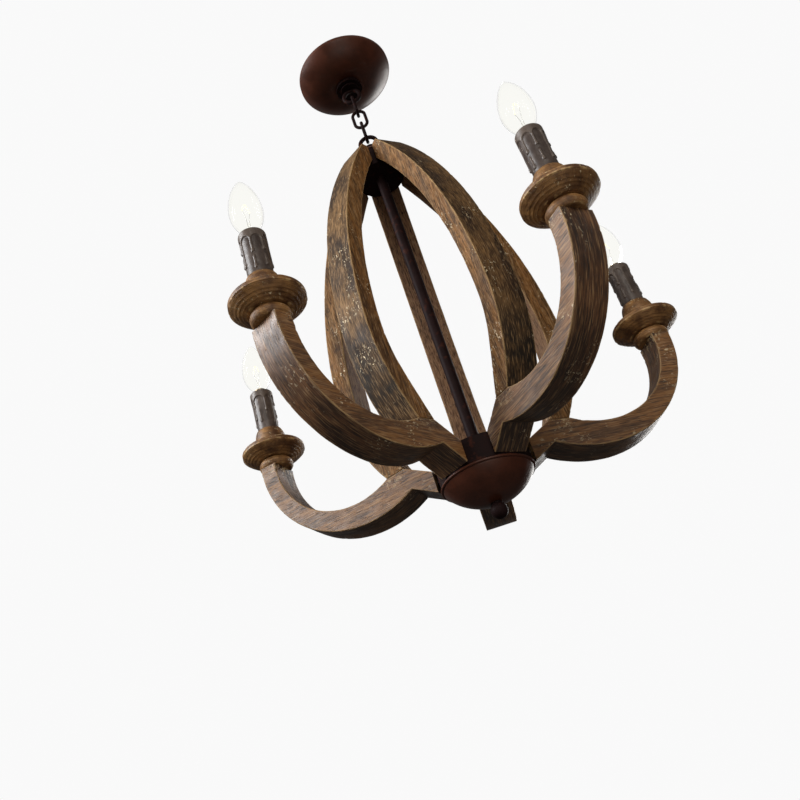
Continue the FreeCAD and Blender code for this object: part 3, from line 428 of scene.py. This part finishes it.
ARM_WOOD = board_wood(
    "arm_wood", shade(70, 45, 28), shade(130, 90, 58), shade(146, 100, 52), 0.4, 0.6, 50, 0.58, 0
)
RIB_WOOD = board_wood(
    "rib_wood", shade(62, 44, 28), shade(130, 98, 62), shade(144, 98, 50), 0.56, 0.2, 85, 0.54, 0.8
)
TURNED = turned_wood()
WAX = sleeve_wax()
DOME = dark_metal("reddish_bronze", shade(66, 33, 20), shade(88, 46, 30), 0.34, 0.35)
ROD = dark_metal("purplish_bronze", shade(26, 15, 15), shade(36, 23, 23), 0.5, 0.05)
ZINC = plain_metal("zinc", shade(176, 176, 172), 0.4)
BRASS = plain_metal("brass", shade(196, 160, 92), 0.32)
PLASTIC = moulded_plastic()
GLASS = clear_glass()
GLOW = glowing_wire()

# Boards. An outer and an inner rail hold matching points, and a rounded section is laid between
BOARD_HALF = 19
CORNER_STEPS = 3
EDGE_BAND = 1.1
PLAIN_ROUND = 1.2
LEAST_ROUND = 0.7
MOST_ROUND = 4.5
CHIP_LIMIT = 0.46
BROAD_DENT = 0.16
FINE_DENT = 0.07


def section(depth, rounds):
    """The section's points from outer (0) to inner (depth), with four corner radii. Each point
    comes with its direction outwards and two facts: on a side face, and near an edge."""
    corners = [
        ((0, -BOARD_HALF), (0, 1)),
        ((0, BOARD_HALF), (1, 0)),
        ((depth, BOARD_HALF), (0, -1)),
        ((depth, -BOARD_HALF), (-1, 0)),
    ]
    points = []
    for index, ((d, w), direction) in enumerate(corners):
        radius = rounds[index]
        centre = (
            d + (radius if d == 0 else -radius),
            w + (radius if w < 0 else -radius),
        )
        start = 270 - 90 * index
        for step in range(CORNER_STEPS + 1):
            angle = math.radians(start - 90 * step / CORNER_STEPS)
            way = (math.cos(angle), math.sin(angle))
            point = (centre[0] + radius * way[0], centre[1] + radius * way[1])
            on_side = step / CORNER_STEPS if index in (1, 3) else 1 - step / CORNER_STEPS
            middle = 0 < step < CORNER_STEPS
            points.append((point, way, on_side, 1.0 if middle else 0.3))
        last = points[-1][0]
        across_board = index in (0, 2)
        face = 2 * BOARD_HALF if across_board else depth
        travel = face - radius - rounds[(index + 1) % 4]
        steps = 12 if across_board else 8
        stops = [EDGE_BAND]
        stops += [EDGE_BAND + (travel - 2 * EDGE_BAND) * i / steps for i in range(1, steps)]
        stops.append(travel - EDGE_BAND)
        for stop in stops:
            point = (last[0] + direction[0] * stop, last[1] + direction[1] * stop)
            points.append((point, way, on_side, 0.0))
    return points


def board(name, outer, inner, material, along_x, seed, node, turn, chips, darkening, wear):
    """A worn board between two rails. chips gives how chipped the edges are at a point, darkening
    how dark its outer face is, and wear how flaked it is near a point of the inner rail.
    The grain runs along the curve on the outer and inner faces. On the sides it is straight,
    across the lamp where along_x is true and else upwards."""
    vertices = []
    length = 0
    faces = []
    grain = []
    sides = []
    edges = []
    darkenings = []
    wears = []
    insides = []
    count = len(outer)
    for station, (low, high) in enumerate(zip(outer, inner)):
        if station:
            length += math.dist(low, outer[station - 1])
        depth_way = Vector((high[0] - low[0], high[1] - low[1]))
        depth = depth_way.length
        depth_way.normalize()
        rounds = []
        for corner in range(4):
            spread = rough(low[0] / 9, low[1] / 9, seed + corner * 7.3)
            chip = rough(low[0] / 5, low[1] / 5, seed + corner * 3.1 + 50)
            chipped = max(chip - CHIP_LIMIT + chips(station / count, corner), 0)
            radius = PLAIN_ROUND + 0.3 * spread + 5.0 * chipped
            rounds.append(min(max(radius, LEAST_ROUND), MOST_ROUND))
        ring = section(depth, rounds)
        darkness = darkening(station / count)
        flaked = wear(station / count)
        for (d, w), way, on_side, edge in ring:
            x = low[0] + depth_way.x * d
            z = low[1] + depth_way.y * d
            dent = BROAD_DENT * (1 + rough(x / 18, w / 12 + seed, z / 18))
            dent += FINE_DENT * (1 + rough(x / 3, w / 3 + seed, z / 3))
            x -= depth_way.x * way[0] * dent
            z -= depth_way.y * way[0] * dent
            across = w - way[1] * dent
            vertices.append((x, across, z))
            lengthways, sideways = (x, z) if along_x else (z, x)
            lengthways += (length - lengthways) * (1 - on_side)
            sideways += (d - sideways) * (1 - on_side)
            grain.append(
                (lengthways * MM + seed, across * MM + seed * 0.7, sideways * MM + seed * 1.3)
            )
            sides.append(on_side)
            edges.append(edge)
            part = d / depth
            darkenings.append(darkness * (1 - smooth_step(part, 0.1, 0.9)) * (1 - 0.85 * on_side))
            wears.append(flaked * smooth_step(part, 0.35, 0.9))
            insides.append(smooth_step(part, 0.9, 0.99) * (1 - on_side))
    size = len(ring)
    for i in range(count - 1):
        for j in range(size):
            after = (j + 1) % size
            faces.append(
                (i * size + j, i * size + after, (i + 1) * size + after, (i + 1) * size + j)
            )
    faces.append(tuple(range(size)))
    faces.append(tuple(range((count - 1) * size, count * size)))
    facts = {
        "grain": grain, "side": sides, "edge": edges, "darkening": darkenings, "wear": wears,
        "inside": insides,
    }
    matrix = standing(turn, 0, HUB_RIM)
    add_piece(name, vertices, faces, material, "lamp", [node], 50, matrix, facts)


# Arm and rib outlines, as reach from the lamp's axis and height over the lower cap's rim
SEAT_GAP = 0.1
STEM_FACE = 49.5
STEM_LOW = 1.6
STEM_HIGH = 27.1
SOLE_CENTRE = (132, 127)
SOLE_RADIUS = 122
BED_CENTRE = (143, 123)
BED_RADIUS = 90
ARM_TOP = 129.5
KINK_HEIGHT = 18.5
KINK = (SOLE_CENTRE[0] - half_chord_at(SOLE_RADIUS, SOLE_CENTRE[1] - KINK_HEIGHT), KINK_HEIGHT)
CROTCH_HEIGHT = 43.1
CROTCH = (BED_CENTRE[0] - half_chord_at(BED_RADIUS, BED_CENTRE[1] - CROTCH_HEIGHT), CROTCH_HEIGHT)
SEAM_END = (79, 45)
WAIST = 157.3
WAIST_INNER = 112
WAIST_OUTER = 134
FOOT_AIM = 0.7066
RIB_INNER_BEND = 535
RIB_OUTER_BEND = 557
RIB_CENTRE = WAIST_INNER - RIB_INNER_BEND
RIB_FACE = 30.3
RIB_END_LOW = WAIST + half_chord_at(RIB_INNER_BEND, RIB_FACE - RIB_CENTRE)
RIB_END_HIGH = RIB_END_LOW + 25.5


def arm_rails():
    kink_angle = angle_of(SOLE_CENTRE, KINK) + 360
    crotch_angle = angle_of(SOLE_CENTRE, CROTCH) + 360
    sole_top = SOLE_CENTRE[0] + half_chord_at(SOLE_RADIUS, ARM_TOP - SOLE_CENTRE[1])
    top_angle = 360 + angle_of(SOLE_CENTRE, (sole_top, ARM_TOP))
    outer = line((STEM_FACE, STEM_LOW), KINK, 16)
    outer += arc(SOLE_CENTRE, SOLE_RADIUS, kink_angle, crotch_angle, 12)
    outer += arc(SOLE_CENTRE, SOLE_RADIUS, crotch_angle, top_angle, 120)
    outer.append((sole_top, ARM_TOP))
    bed_start = angle_of(BED_CENTRE, CROTCH) + 360
    bed_top = BED_CENTRE[0] + half_chord_at(BED_RADIUS, ARM_TOP - BED_CENTRE[1])
    bed_end = angle_of(BED_CENTRE, (bed_top, ARM_TOP)) + 360
    inner = line((STEM_FACE, STEM_HIGH), SEAM_END, 16)
    inner += line(SEAM_END, CROTCH, 12)
    inner += arc(BED_CENTRE, BED_RADIUS, bed_start, bed_end, 120)
    inner.append((bed_top, ARM_TOP))
    return outer, inner


def rib_rails():
    foot = (CROTCH[0], CROTCH[1] + SEAT_GAP)
    foot_bend = arc_radius(WAIST - foot[1], WAIST_OUTER - foot[0])
    foot_centre = (WAIST_OUTER - foot_bend, WAIST)
    outer_top = RIB_CENTRE + half_chord_at(RIB_OUTER_BEND, RIB_END_HIGH - WAIST)
    upper_centre = (RIB_CENTRE, WAIST)
    outer_end = angle_of(upper_centre, (outer_top, RIB_END_HIGH))
    outer = arc(foot_centre, foot_bend, angle_of(foot_centre, foot), 0, 60)
    outer += arc(upper_centre, RIB_OUTER_BEND, 0, outer_end, 100)
    outer += line((outer_top, RIB_END_HIGH), (RIB_FACE + 0.4, RIB_END_HIGH), 5)
    heel = (SEAM_END[0], SEAM_END[1] + SEAT_GAP)
    foot_run = WAIST_INNER - heel[0]
    foot_rise = FOOT_AIM * (WAIST - heel[1])
    foot_length = math.hypot(foot_run, foot_rise)
    bend_rise = WAIST - heel[1] - foot_rise
    inner_bend = bend_rise * foot_run / (foot_length - foot_rise)
    inner_centre = (WAIST_INNER - inner_bend, WAIST)
    touch_point = (
        WAIST_INNER - bend_rise * foot_run / foot_length,
        WAIST - bend_rise - bend_rise * foot_rise / foot_length,
    )
    inner_end = angle_of(upper_centre, (RIB_FACE, RIB_END_LOW))
    inner = line(heel, touch_point, 26)
    inner += arc(inner_centre, inner_bend, angle_of(inner_centre, touch_point), 0, 34)
    inner += arc(upper_centre, RIB_INNER_BEND, 0, inner_end, 100)
    inner += line((RIB_FACE, RIB_END_LOW), (RIB_FACE, RIB_END_HIGH - 1), 5)
    return outer, inner


def arm_chips(along, corner):
    """The inner edges are chipped hardest near the candle, and a little at the crotch."""
    near_top = smooth_step(along, 0.9, 0.99)
    near_crotch = smooth_step(along, 0.1, 0.14) - smooth_step(along, 0.2, 0.26)
    return 0.3 * near_top * (1.4 if corner in (2, 3) else 0.5) + 0.12 * near_crotch


def arm_wear(along):
    """Flakes by the candle, and a few at the crotch's seam."""
    near_crotch = smooth_step(along, 0.1, 0.13) - smooth_step(along, 0.19, 0.23)
    return smooth_step(along, 0.93, 0.99) + 0.55 * near_crotch


def arm_painted_shade(along):
    """Painted shade: the arm's outer face is darker from the hub to its lowest point, where it
    faces down.
    """
    return 0.5 * (1 - smooth_step(along, 0.3, 0.5))


def rib_chips(along, _corner):
    return 0.16 * (1 - smooth_step(along, 0.02, 0.3))


def rib_wear(along):
    return 0.6 * (1 - smooth_step(along, 0.01, 0.09))


def rib_darkening(along):
    """The lower rib is darker outside."""
    return 1 - smooth_step(along, 0.12, 0.42)


for index, (letter, turn) in enumerate(ARMS.items()):
    seed = 1.37 + 2.71 * index
    board(
        f"arm_board_{letter}", *arm_rails(), ARM_WOOD, True, seed,
        f"candle_arm_{letter}", turn, arm_chips, arm_painted_shade, arm_wear,
    )
    board(
        f"rib_board_{letter}", *rib_rails(), RIB_WOOD, False, seed + 13.3,
        f"rib_{letter}", turn, rib_chips, rib_darkening, rib_wear,
    )

# Turned pieces of each candle, heights above their own foot
COLLAR_RADIUS = 17.4
COLLAR_HEIGHT = 11.4
PAN_FOOT = 21.5
PAN_RIM = (38, 11)
BOSS_HEIGHT = 42
BORE = 5.2
HOLDER_HEIGHT = 57.1
WELL_DEPTH = 19
COLLAR_LOW = ARM_TOP + SEAT_GAP
PAN_LOW = COLLAR_LOW + COLLAR_HEIGHT + SEAT_GAP
SLEEVE_LOW = PAN_LOW + BOSS_HEIGHT + SEAT_GAP
BULB_LOW = SLEEVE_LOW + HOLDER_HEIGHT - WELL_DEPTH + 0.4


def turned_piece(name, profile, node, matrix, seed, edges):
    """A turned piece with slight wear. edges holds the corners that are worn pale."""

    def worn(radius, height, angle):
        if radius < BORE + 1:
            return radius, height
        x = radius * math.cos(angle)
        y = radius * math.sin(angle)
        dent = 0.1 * (1 + rough(x / 6 + seed, y / 6, height / 6))
        chip = 0
        for edge_radius, edge_height in edges:
            away = math.hypot(radius - edge_radius, height - edge_height)
            if away < 2.2:
                bite = rough(x / 4 + seed, y / 4, height / 6) - 0.3
                chip += max(bite, 0) * 3.0 * (1 - away / 2.2)
        return radius - dent - min(chip, 1.4), height

    vertices, faces = lathe(profile, 144, change=worn)
    grain = []
    rings = []
    near = []
    for x, y, z in vertices:
        grain.append((x * MM + seed, y * MM + seed, z * MM + seed))
        radius = math.hypot(x, y)
        rings.append(radius * MM + z * MM * 0.6)
        away = [math.hypot(radius - edge[0], z - edge[1]) for edge in edges]
        near.append(1.0 - smooth_step(min(away), 0.5, 2.0))
    facts = {"grain": grain, "ring": rings, "edge": near}
    add_piece(name, vertices, faces, TURNED, "lamp", [node], 40, matrix, facts)


def collar_profile():
    high = COLLAR_HEIGHT
    points = line((BORE, 0), (COLLAR_RADIUS, 0), 6)
    points += bulging((COLLAR_RADIUS, 0), (COLLAR_RADIUS, high), 3.1, 16)
    points += line((COLLAR_RADIUS, high), (BORE, high), 6)
    points.append((BORE, high))
    return points


def pan_profile():
    dish_radius = 28
    dish_low = 7.5
    neck = (18.3, 31)
    underside = bulging((PAN_FOOT, 0), PAN_RIM, 0.9, 34)
    underside = [
        (radius, height + 0.22 * math.sin(radius * 1.9) * (1 - abs(radius - 29) / 10))
        for radius, height in underside
    ]
    rim_round = arc((35.8, 14.3), 2.2, 0, 90, 6)
    dish = [
        (dish_radius + 7.8 * (1 - i / 14), dish_low + 9 * (1 - i / 14) ** 1.5) for i in range(14)
    ]
    boss_top = (15.6, BOSS_HEIGHT)
    points = line((BORE, 0), (PAN_FOOT, 0), 6) + underside
    points += line(PAN_RIM, (PAN_RIM[0], 14.3), 4) + rim_round + dish
    points += line((dish_radius, dish_low), (neck[0], dish_low), 5)
    points += line((neck[0], dish_low), neck, 10) + bulging(neck, boss_top, 0.69, 12)
    points += line(boss_top, (BORE, BOSS_HEIGHT), 5)
    points.append((BORE, BOSS_HEIGHT))
    return points


# Wax coat on a sleeve: arches between narrow runs, which end in drops
RUNS = [
    # angle in degrees, height where the run ends
    (0, 14),
    (53, 27),
    (105, 30),
    (150, 12),
    (195, 34),
    (264, 27),
    (300, 9),
    (331, 36),
]
LOWER_RUNS = [
    # angle in degrees, top, end
    (53, 23, 7),
    (105, 25, 10),
    (193, 27, 17),
    (225, 30, 12),
    (331, 31, 18),
]
WAX_TURNS = {"a": 15, "b": 140, "c": 250, "d": 70, "e": 129}
SLEEVE_TOP = 58
ARCH_TOP = 48
RUN_HALF_WIDTH = 1.5
RUN_RADIUS = 13.5


def across_run(degrees, place):
    """Distance round the sleeve from a run's middle, in millimetres."""
    return ((degrees - place + 180) % 360 - 180) * math.pi / 180 * RUN_RADIUS


def run_shape(across, height, top, end):
    """Thickness of a single run at a distance across it: a ridge with a drop at its end."""
    above = height - end
    if above < -RUN_HALF_WIDTH or height > top:
        return 0.0
    fullness = 1.15 if above < 2.5 else 0.8
    width = RUN_HALF_WIDTH * fullness
    if above < 0:
        across = math.hypot(across, above)
    ridge = max(1 - (across / width) ** 2, 0) ** 0.5
    fade = 1 - smooth_step(height, top - 4, top)
    return ridge * fade * fullness


def wax_thickness(angle, height, shift):
    """Thickness of the wax over the bare sleeve, in millimetres, and how much is coat."""
    degrees = (math.degrees(angle) + shift) % 360
    thickness = 0.0
    coat = 0.0
    for index, (place, end) in enumerate(RUNS):
        following = RUNS[(index + 1) % len(RUNS)][0]
        gap = (following - place) % 360
        offset = (degrees - place) % 360
        if offset < gap:
            half = gap / 2
            out = min(abs(offset - half) / half, 1.0)
            arch = ARCH_TOP - 1.2 * math.sin(place) - 9 * (1 - math.sqrt(1 - out ** 2))
            coat = smooth_step(height, arch - 0.5, arch + 0.9)
        run = run_shape(across_run(degrees, place), height, ARCH_TOP + 2, end)
        thickness = max(thickness, run)
    for place, top, end in LOWER_RUNS:
        run = run_shape(across_run(degrees, place), height, top, end)
        thickness = max(thickness, run * 0.9)
    return max(thickness, coat * 0.95), coat


def candle_sleeve(letter, matrix, shift, seed):
    """An open tube whose outside carries the wax, turned by shift degrees."""
    rounding = SLEEVE_TOP - 3.4
    outer = line((12.95, 0), (12.95, rounding), 110) + arc((10.4, rounding), 2.6, 0, 78, 6)
    profile = outer + [(10.8, SLEEVE_TOP - 0.5), (10.6, SLEEVE_TOP - 1.2), (10.6, 0)]
    coats = []

    def waxed(radius, height, angle):
        if radius < 10.9:
            coats.append(0.0)
            return radius, height
        amount, coat = wax_thickness(angle, height, shift)
        coats.append(amount)
        wobble = 0.12 * rough(math.cos(angle) * 3 + seed, math.sin(angle) * 3, height / 5)
        return min(radius + amount * 1.25 + wobble, 14.5), min(height, SLEEVE_TOP)

    vertices, faces = lathe(profile, 176, change=waxed)
    grain = [(x * MM + seed, y * MM, z * MM) for x, y, z in vertices]
    facts = {"grain": grain, "edge": coats}
    add_piece(
        f"waxed_sleeve_{letter}", vertices, faces, WAX, "lamp",
        [f"candle_sleeve_{letter}"], 60, matrix, facts,
    )


def bulb_glass(name, body, node, matrix):
    """A thin shell: straight neck, round belly and a drawn-out blunt tip."""
    foot = 21.2
    neck = 6.3
    widest = 17.5
    wide = 50
    belly_low = 23.6
    tip_low = 96
    tip_touch = 3.2
    belly = arc_radius(wide - belly_low, widest - neck)
    flame = arc_radius(tip_low - wide, widest)
    belly_centre = (widest - belly, wide)
    flame_centre = (widest - flame, wide)
    tip_reach = tip_touch - flame_centre[0]
    tip_rise = half_chord_at(flame, tip_reach)
    tip_bend = tip_touch * flame / tip_reach
    tip_centre = (0, wide + tip_rise - tip_bend * tip_rise / flame)
    lean = angle_of((0, 0), (tip_reach, tip_rise))
    wall = 0.9
    outside = [(neck, foot)]
    outside += arc(belly_centre, belly, angle_of(belly_centre, (neck, belly_low)), 0, 28)
    outside += arc(flame_centre, flame, 0, lean, 36)
    outside += arc(tip_centre, tip_bend, lean, 90, 8)
    outside.append((0, tip_centre[1] + tip_bend))
    inside = [(0, tip_centre[1] + tip_bend - wall)]
    inside += list(reversed(arc(tip_centre, tip_bend - wall, lean, 90, 8)))
    inside += list(reversed(arc(flame_centre, flame - wall, 0, lean, 36)))
    inner_neck = neck - wall
    inner_low = wide - half_chord_at(belly - wall, inner_neck - belly_centre[0])
    inner_start = angle_of(belly_centre, (inner_neck, inner_low))
    inside += list(reversed(arc(belly_centre, belly - wall, inner_start, 0, 28)))
    inside.append((inner_neck, foot))
    vertices, faces = lathe(outside + inside, 72)
    add_piece(name, vertices, faces, GLASS, body, [node], 40, matrix)


def wire_piece(name, path, radius, material, slot, body, matrix, sides=8):
    """A round wire along a path of points in millimetres."""
    vertices = []
    faces = []
    points = [Vector(p) for p in path]
    for i, point in enumerate(points):
        ahead = points[min(i + 1, len(points) - 1)] - points[max(i - 1, 0)]
        ahead.normalize()
        first = ahead.cross(Vector((0.3, 1, 0.1))).normalized()
        second = ahead.cross(first)
        for j in range(sides):
            angle = 2 * math.pi * j / sides
            vertices.append(point + (first * math.cos(angle) + second * math.sin(angle)) * radius)
    for i in range(len(points) - 1):
        for j in range(sides):
            after = (j + 1) % sides
            faces.append(
                (i * sides + j, i * sides + after, (i + 1) * sides + after, (i + 1) * sides + j)
            )
    faces.append(tuple(range(sides)))
    faces.append(tuple(range((len(points) - 1) * sides, len(points) * sides)))
    add_piece(name, vertices, faces, material, body, slot, 60, matrix)


def bulb_inside(letter, body, matrix):
    """A glass stem with two lead wires and an arched, glowing filament."""
    stem = line((0, 22), (3.6, 22), 4) + line((3.6, 22), (2.0, 34), 8) + line((2.0, 34), (0, 38), 6)
    stem.append((0, 38))
    vertices, faces = lathe(stem, 32)
    add_piece(f"bulb_stem_{letter}", vertices, faces, GLASS, body, "clear_glass", 40, matrix)
    for side, way in (("l", -1), ("r", 1)):
        lead = [(way * 1.2, 0, 30), (way * 1.6, 0, 40), (way * 4.5, 0, 52)]
        wire_piece(f"bulb_lead_{letter}_{side}", lead, 0.14, ZINC, "plain_steel", body, matrix)
    filament = []
    for i in range(41):
        part = i / 40
        swing = math.sin(part * math.pi * 16) * 0.7
        filament.append((-4.5 + 9 * part, swing, 52 + 10 * math.sin(part * math.pi)))
    wire_piece(
        f"bulb_filament_{letter}", filament, 0.22, GLOW, "plain_steel", body, matrix, sides=6
    )


def bulb_base(name, body, node, matrix):
    """A brass screw cap with a real thread's waves, a contact and the glass's flange."""
    contact = 2.6
    cap = 5.6
    thread_pitch = 2.5
    neck = 5.9
    flange = 7.4
    recess = 6.4
    floor_height = 21.1
    thread = []
    for i in range(60):
        height = 4 + 12.5 * i / 60
        thread.append((cap + 0.33 * math.cos(height * 2 * math.pi / thread_pitch), height))
    profile = line((0, 0), (contact, 0), 4) + line((contact, 0), (contact, 1.2), 2)
    profile += line((contact, 1.2), (cap, 3.6), 4) + thread
    profile += line((neck, 16.8), (neck, 18.9), 3) + line((neck, 18.9), (flange, 19.1), 2)
    profile += line((flange, 19.1), (flange, 23.1), 4) + line((flange, 23.1), (recess, 23.3), 2)
    profile += line((recess, 23.3), (recess, floor_height), 2)
    profile += line((recess, floor_height), (0, floor_height), 4)
    profile.append((0, floor_height))
    vertices, faces = lathe(profile, 64)
    add_piece(name, vertices, faces, BRASS, body, [node], 35, matrix)


def lamp_holder(name, node, matrix):
    """A narrower foot with a hole for the nipple, a round top edge and a well for the bulb."""
    hole = 4.9
    hole_depth = 9
    foot = 9.2
    body = 10.2
    rounding = 0.7
    well_radius = 6.1
    high = HOLDER_HEIGHT
    well = high - WELL_DEPTH
    profile = line((0, hole_depth), (hole, hole_depth), 2) + line((hole, hole_depth), (hole, 0), 2)
    profile += line((hole, 0), (foot, 0), 2) + line((foot, 0), (foot, 10), 3)
    profile += line((foot, 10), (body, 10.3), 1)
    profile += line((body, 10.3), (body, high - rounding), 20)
    profile += arc((body - rounding, high - rounding), rounding, 0, 90, 4)
    profile += line((body - rounding, high), (well_radius, high), 3)
    profile += line((well_radius, high), (well_radius, well), 8)
    profile += line((well_radius, well), (0, well), 3) + [(0, well)]
    vertices, faces = lathe(profile, 64)
    add_piece(name, vertices, faces, PLASTIC, "lamp", [node], 35, matrix)


for index, (letter, turn) in enumerate(ARMS.items()):
    seed = 0.9 + 1.7 * index
    body = f"bulb_{letter}"
    collar_at = standing(turn, CANDLE_REACH, HUB_RIM + COLLAR_LOW)
    pan_at = standing(turn, CANDLE_REACH, HUB_RIM + PAN_LOW)
    sleeve_at = standing(turn, CANDLE_REACH, HUB_RIM + SLEEVE_LOW)
    bulb_at = standing(turn, CANDLE_REACH, HUB_RIM + BULB_LOW)
    turned_piece(
        f"turned_collar_{letter}", collar_profile(), f"arm_collar_{letter}", collar_at, seed,
        ((COLLAR_RADIUS, 0), (COLLAR_RADIUS, COLLAR_HEIGHT)),
    )
    turned_piece(
        f"drip_pan_{letter}", pan_profile(), f"bobeche_{letter}", pan_at, seed + 5,
        (PAN_RIM, (36.8, 16), (PAN_FOOT, 0)),
    )
    candle_sleeve(letter, sleeve_at, WAX_TURNS[letter], seed + 9)
    lamp_holder(f"holder_{letter}", f"lamp_holder_{letter}", sleeve_at)
    bulb_base(f"screw_cap_{letter}", body, f"bulb_base_{letter}", bulb_at)
    bulb_glass(f"flame_glass_{letter}", body, f"bulb_glass_{letter}", bulb_at)
    bulb_inside(letter, body, bulb_at)


# Hub: a spun cap with a rolled lip over a drum, and a ball finial
def cap_piece(name, node, body, bowl, depth, up, base):
    """A cap whose bowl is that wide at the lip. up turns it over, and base is its rim's height."""
    lip = 2.6
    bend = arc_radius(bowl, depth - lip)
    centre = (0, bend - depth)
    inner = bend - 1.2
    start = math.degrees(math.asin(5.2 / bend)) - 90
    end = angle_of(centre, (bowl, -lip))
    outside = arc(centre, bend, start, end, 60)
    bead_centre = bowl + 0.7
    bead = arc((bead_centre, -1.3), 1.3, -150, 90, 18)
    inner_rim = half_chord_at(inner, centre[1] + lip)
    inner_end = angle_of(centre, (inner_rim, -lip))
    inside = [(bead_centre, 0), (inner_rim, 0)]
    inside += list(reversed(arc(centre, inner, start, inner_end, 40)))
    vertices, faces = lathe(outside + bead + inside, 160)
    matrix = Matrix.Translation((0, 0, base * MM))
    if up:
        matrix = matrix @ Matrix.Rotation(math.pi, 4, "Y")
    add_piece(name, vertices, faces, DOME, body, [node], 45, matrix)


HUB_CAP_DEPTH = 28
cap_piece("hub_bowl", "hub_cap", "hub_cap", 48.6, HUB_CAP_DEPTH, False, HUB_RIM)
cap_piece("top_bowl", "top_cap", "lamp", 29.4, 14, True, TOP_CAP_RIM)


def finial_piece():
    """A ball under a short neck, bored from above for its stud."""
    ball = 9
    neck = 6.4
    neck_low = -2.2
    bore = 4.88
    bore_end = -8.3
    centre = (0, neck_low - half_chord_at(ball, neck))
    end = angle_of(centre, (neck, neck_low))
    profile = line((bore, 0), (bore, bore_end), 3) + line((bore, bore_end), (0, bore_end), 2)
    profile.append((0, bore_end))
    profile += arc(centre, ball, -90, end, 40) + arc((neck + 0.5, -1.4), 0.9, 230, 130, 6)
    profile += line((neck - 0.1, -0.6), (neck, 0), 2) + [(neck, 0)]
    vertices, faces = lathe(profile, 96)
    matrix = Matrix.Translation((0, 0, (HUB_RIM - HUB_CAP_DEPTH - 0.3) * MM))
    add_piece("ball_finial", vertices, faces, ROD, "finial", ["finial"], 40, matrix)


finial_piece()

# CAD pieces that keep their own shape get a finish and smooth shading
FINISHES = {
    ROD: [
        "hub_drum", "top_drum", "centre_rod", "top_loop", "canopy_loop", "ring_nut",
        "chain_link_1", "chain_link_2", "chain_link_3",
    ],
    DOME: ["canopy"],
    ZINC: ["tie_rod", "rod_nuts", "hub_screws", "candle_nipples", "mounting_strap", "strap_nut"],
    TURNED: ["rib_dowels"],
}
for material, names in FINISHES.items():
    for name in names:
        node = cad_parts[name]
        node.data.materials.clear()
        node.data.materials.append(material)
        node.data.shade_smooth()
        node.data.set_sharp_from_angle(angle=math.radians(30))

# Pale floor far below, as under a hanging lamp. Its own light is only for the eye and for glass
FLOOR_HEIGHT = -2.3
FLOOR_HALF = 20.0
floor_mesh = bpy.data.meshes.new("floor")
FLOOR_CORNERS = ((-1, -1), (1, -1), (1, 1), (-1, 1))
floor_mesh.from_pydata(
    [(x * FLOOR_HALF, y * FLOOR_HALF, FLOOR_HEIGHT) for x, y in FLOOR_CORNERS],
    [],
    [(0, 1, 2, 3)],
)
floor = bpy.data.objects.new("floor", floor_mesh)
bpy.context.scene.collection.objects.link(floor)


def ray_amount(shader, seen_amount, glossy_amount):
    """One amount for rays from the camera and through glass, and another for reflections."""
    path = shader.node("ShaderNodeLightPath")
    direct = (path.outputs["Is Camera Ray"], path.outputs["Is Transmission Ray"])
    seen = shader.maths("MULTIPLY", shader.maths("MAXIMUM", *direct), seen_amount)
    glossy = shader.maths("MULTIPLY", path.outputs["Is Glossy Ray"], glossy_amount)
    return shader.maths("MAXIMUM", seen, glossy)


pale = Shader("pale_floor")
pale_color = pale.mix(ray_amount(pale, 1.0, 0.2), shade(66, 64, 62), shade(124, 123, 121))
floor_mesh.materials.append(
    pale.finish(
        color=pale_color, roughness=0.9, glow=(0.97, 0.97, 0.96, 1),
        glow_strength=ray_amount(pale, 0.87, 0.02),
    )
)

# World: a low fill for the lamp, near white for the camera and through glass, grey in reflections
studio = Shader("studio", bpy.data.worlds)
bpy.context.scene.world = studio.material
studio_color = studio.mix(
    ray_amount(studio, 1.0, 0.1), (0.068, 0.064, 0.06, 1), (0.95, 0.95, 0.95, 1)
)
studio.give(studio.tree.nodes["Background"].inputs["Color"], studio_color)


LAMP_MIDDLE = Vector((0, 0, -0.42))


def area_light(name, way, distance, size, level, color):
    """A soft disk of light. At level 1 a face turned to it shows its own colour."""
    direction = Vector(way).normalized()
    light = bpy.data.lights.new(name, "AREA")
    light.shape = "DISK"
    light.size = size
    light.energy = level * (math.pi * distance) ** 2
    light.color = color
    lamp = bpy.data.objects.new(name, light)
    lamp.location = LAMP_MIDDLE + direction * distance
    lamp.rotation_mode = "QUATERNION"
    lamp.rotation_quaternion = (-direction).to_track_quat("-Z", "Y")
    lamp.visible_camera = False
    bpy.context.scene.collection.objects.link(lamp)


area_light("key", (-0.85, -0.28, 0.45), 2.6, 1.5, 1.25, (0.96, 0.98, 1.0))
area_light("front_fill", (0.15, -0.95, 0.28), 2.6, 1.6, 0.45, (1.0, 0.95, 0.87))
area_light("back_fill", (0.45, 0.85, 0.25), 2.6, 1.6, 0.55, (1.0, 0.98, 0.95))
area_light("low_fill", (0.2, -0.75, -0.55), 2.2, 1.8, 0.13, (1.0, 0.94, 0.86))

# Camera: low in front of the lamp, looking up at it, rolled to the left, its picture cut off centre
CAMERA_PLACE = (-16.4, -849.1, HUB_RIM - 375.5)
CAMERA_RIGHT = Vector((0.9407, 0.2451, -0.2347))
CAMERA_UP = Vector((0.3254, -0.4555, 0.8286))
CAMERA_BACK = Vector((0.0962, -0.8558, -0.5083))
camera_data = bpy.data.cameras.new("camera")
camera_data.sensor_width = 36
camera_data.lens = 40.2
camera_data.shift_x = 0.055
camera_data.shift_y = 0.0124
camera = bpy.data.objects.new("camera", camera_data)
axes = Matrix((CAMERA_RIGHT, CAMERA_UP, CAMERA_BACK)).transposed().to_4x4()
camera.matrix_world = Matrix.Translation(Vector(CAMERA_PLACE) * MM) @ axes
bpy.context.scene.collection.objects.link(camera)
bpy.context.scene.camera = camera

bpy.context.scene.view_settings.view_transform = "Standard"
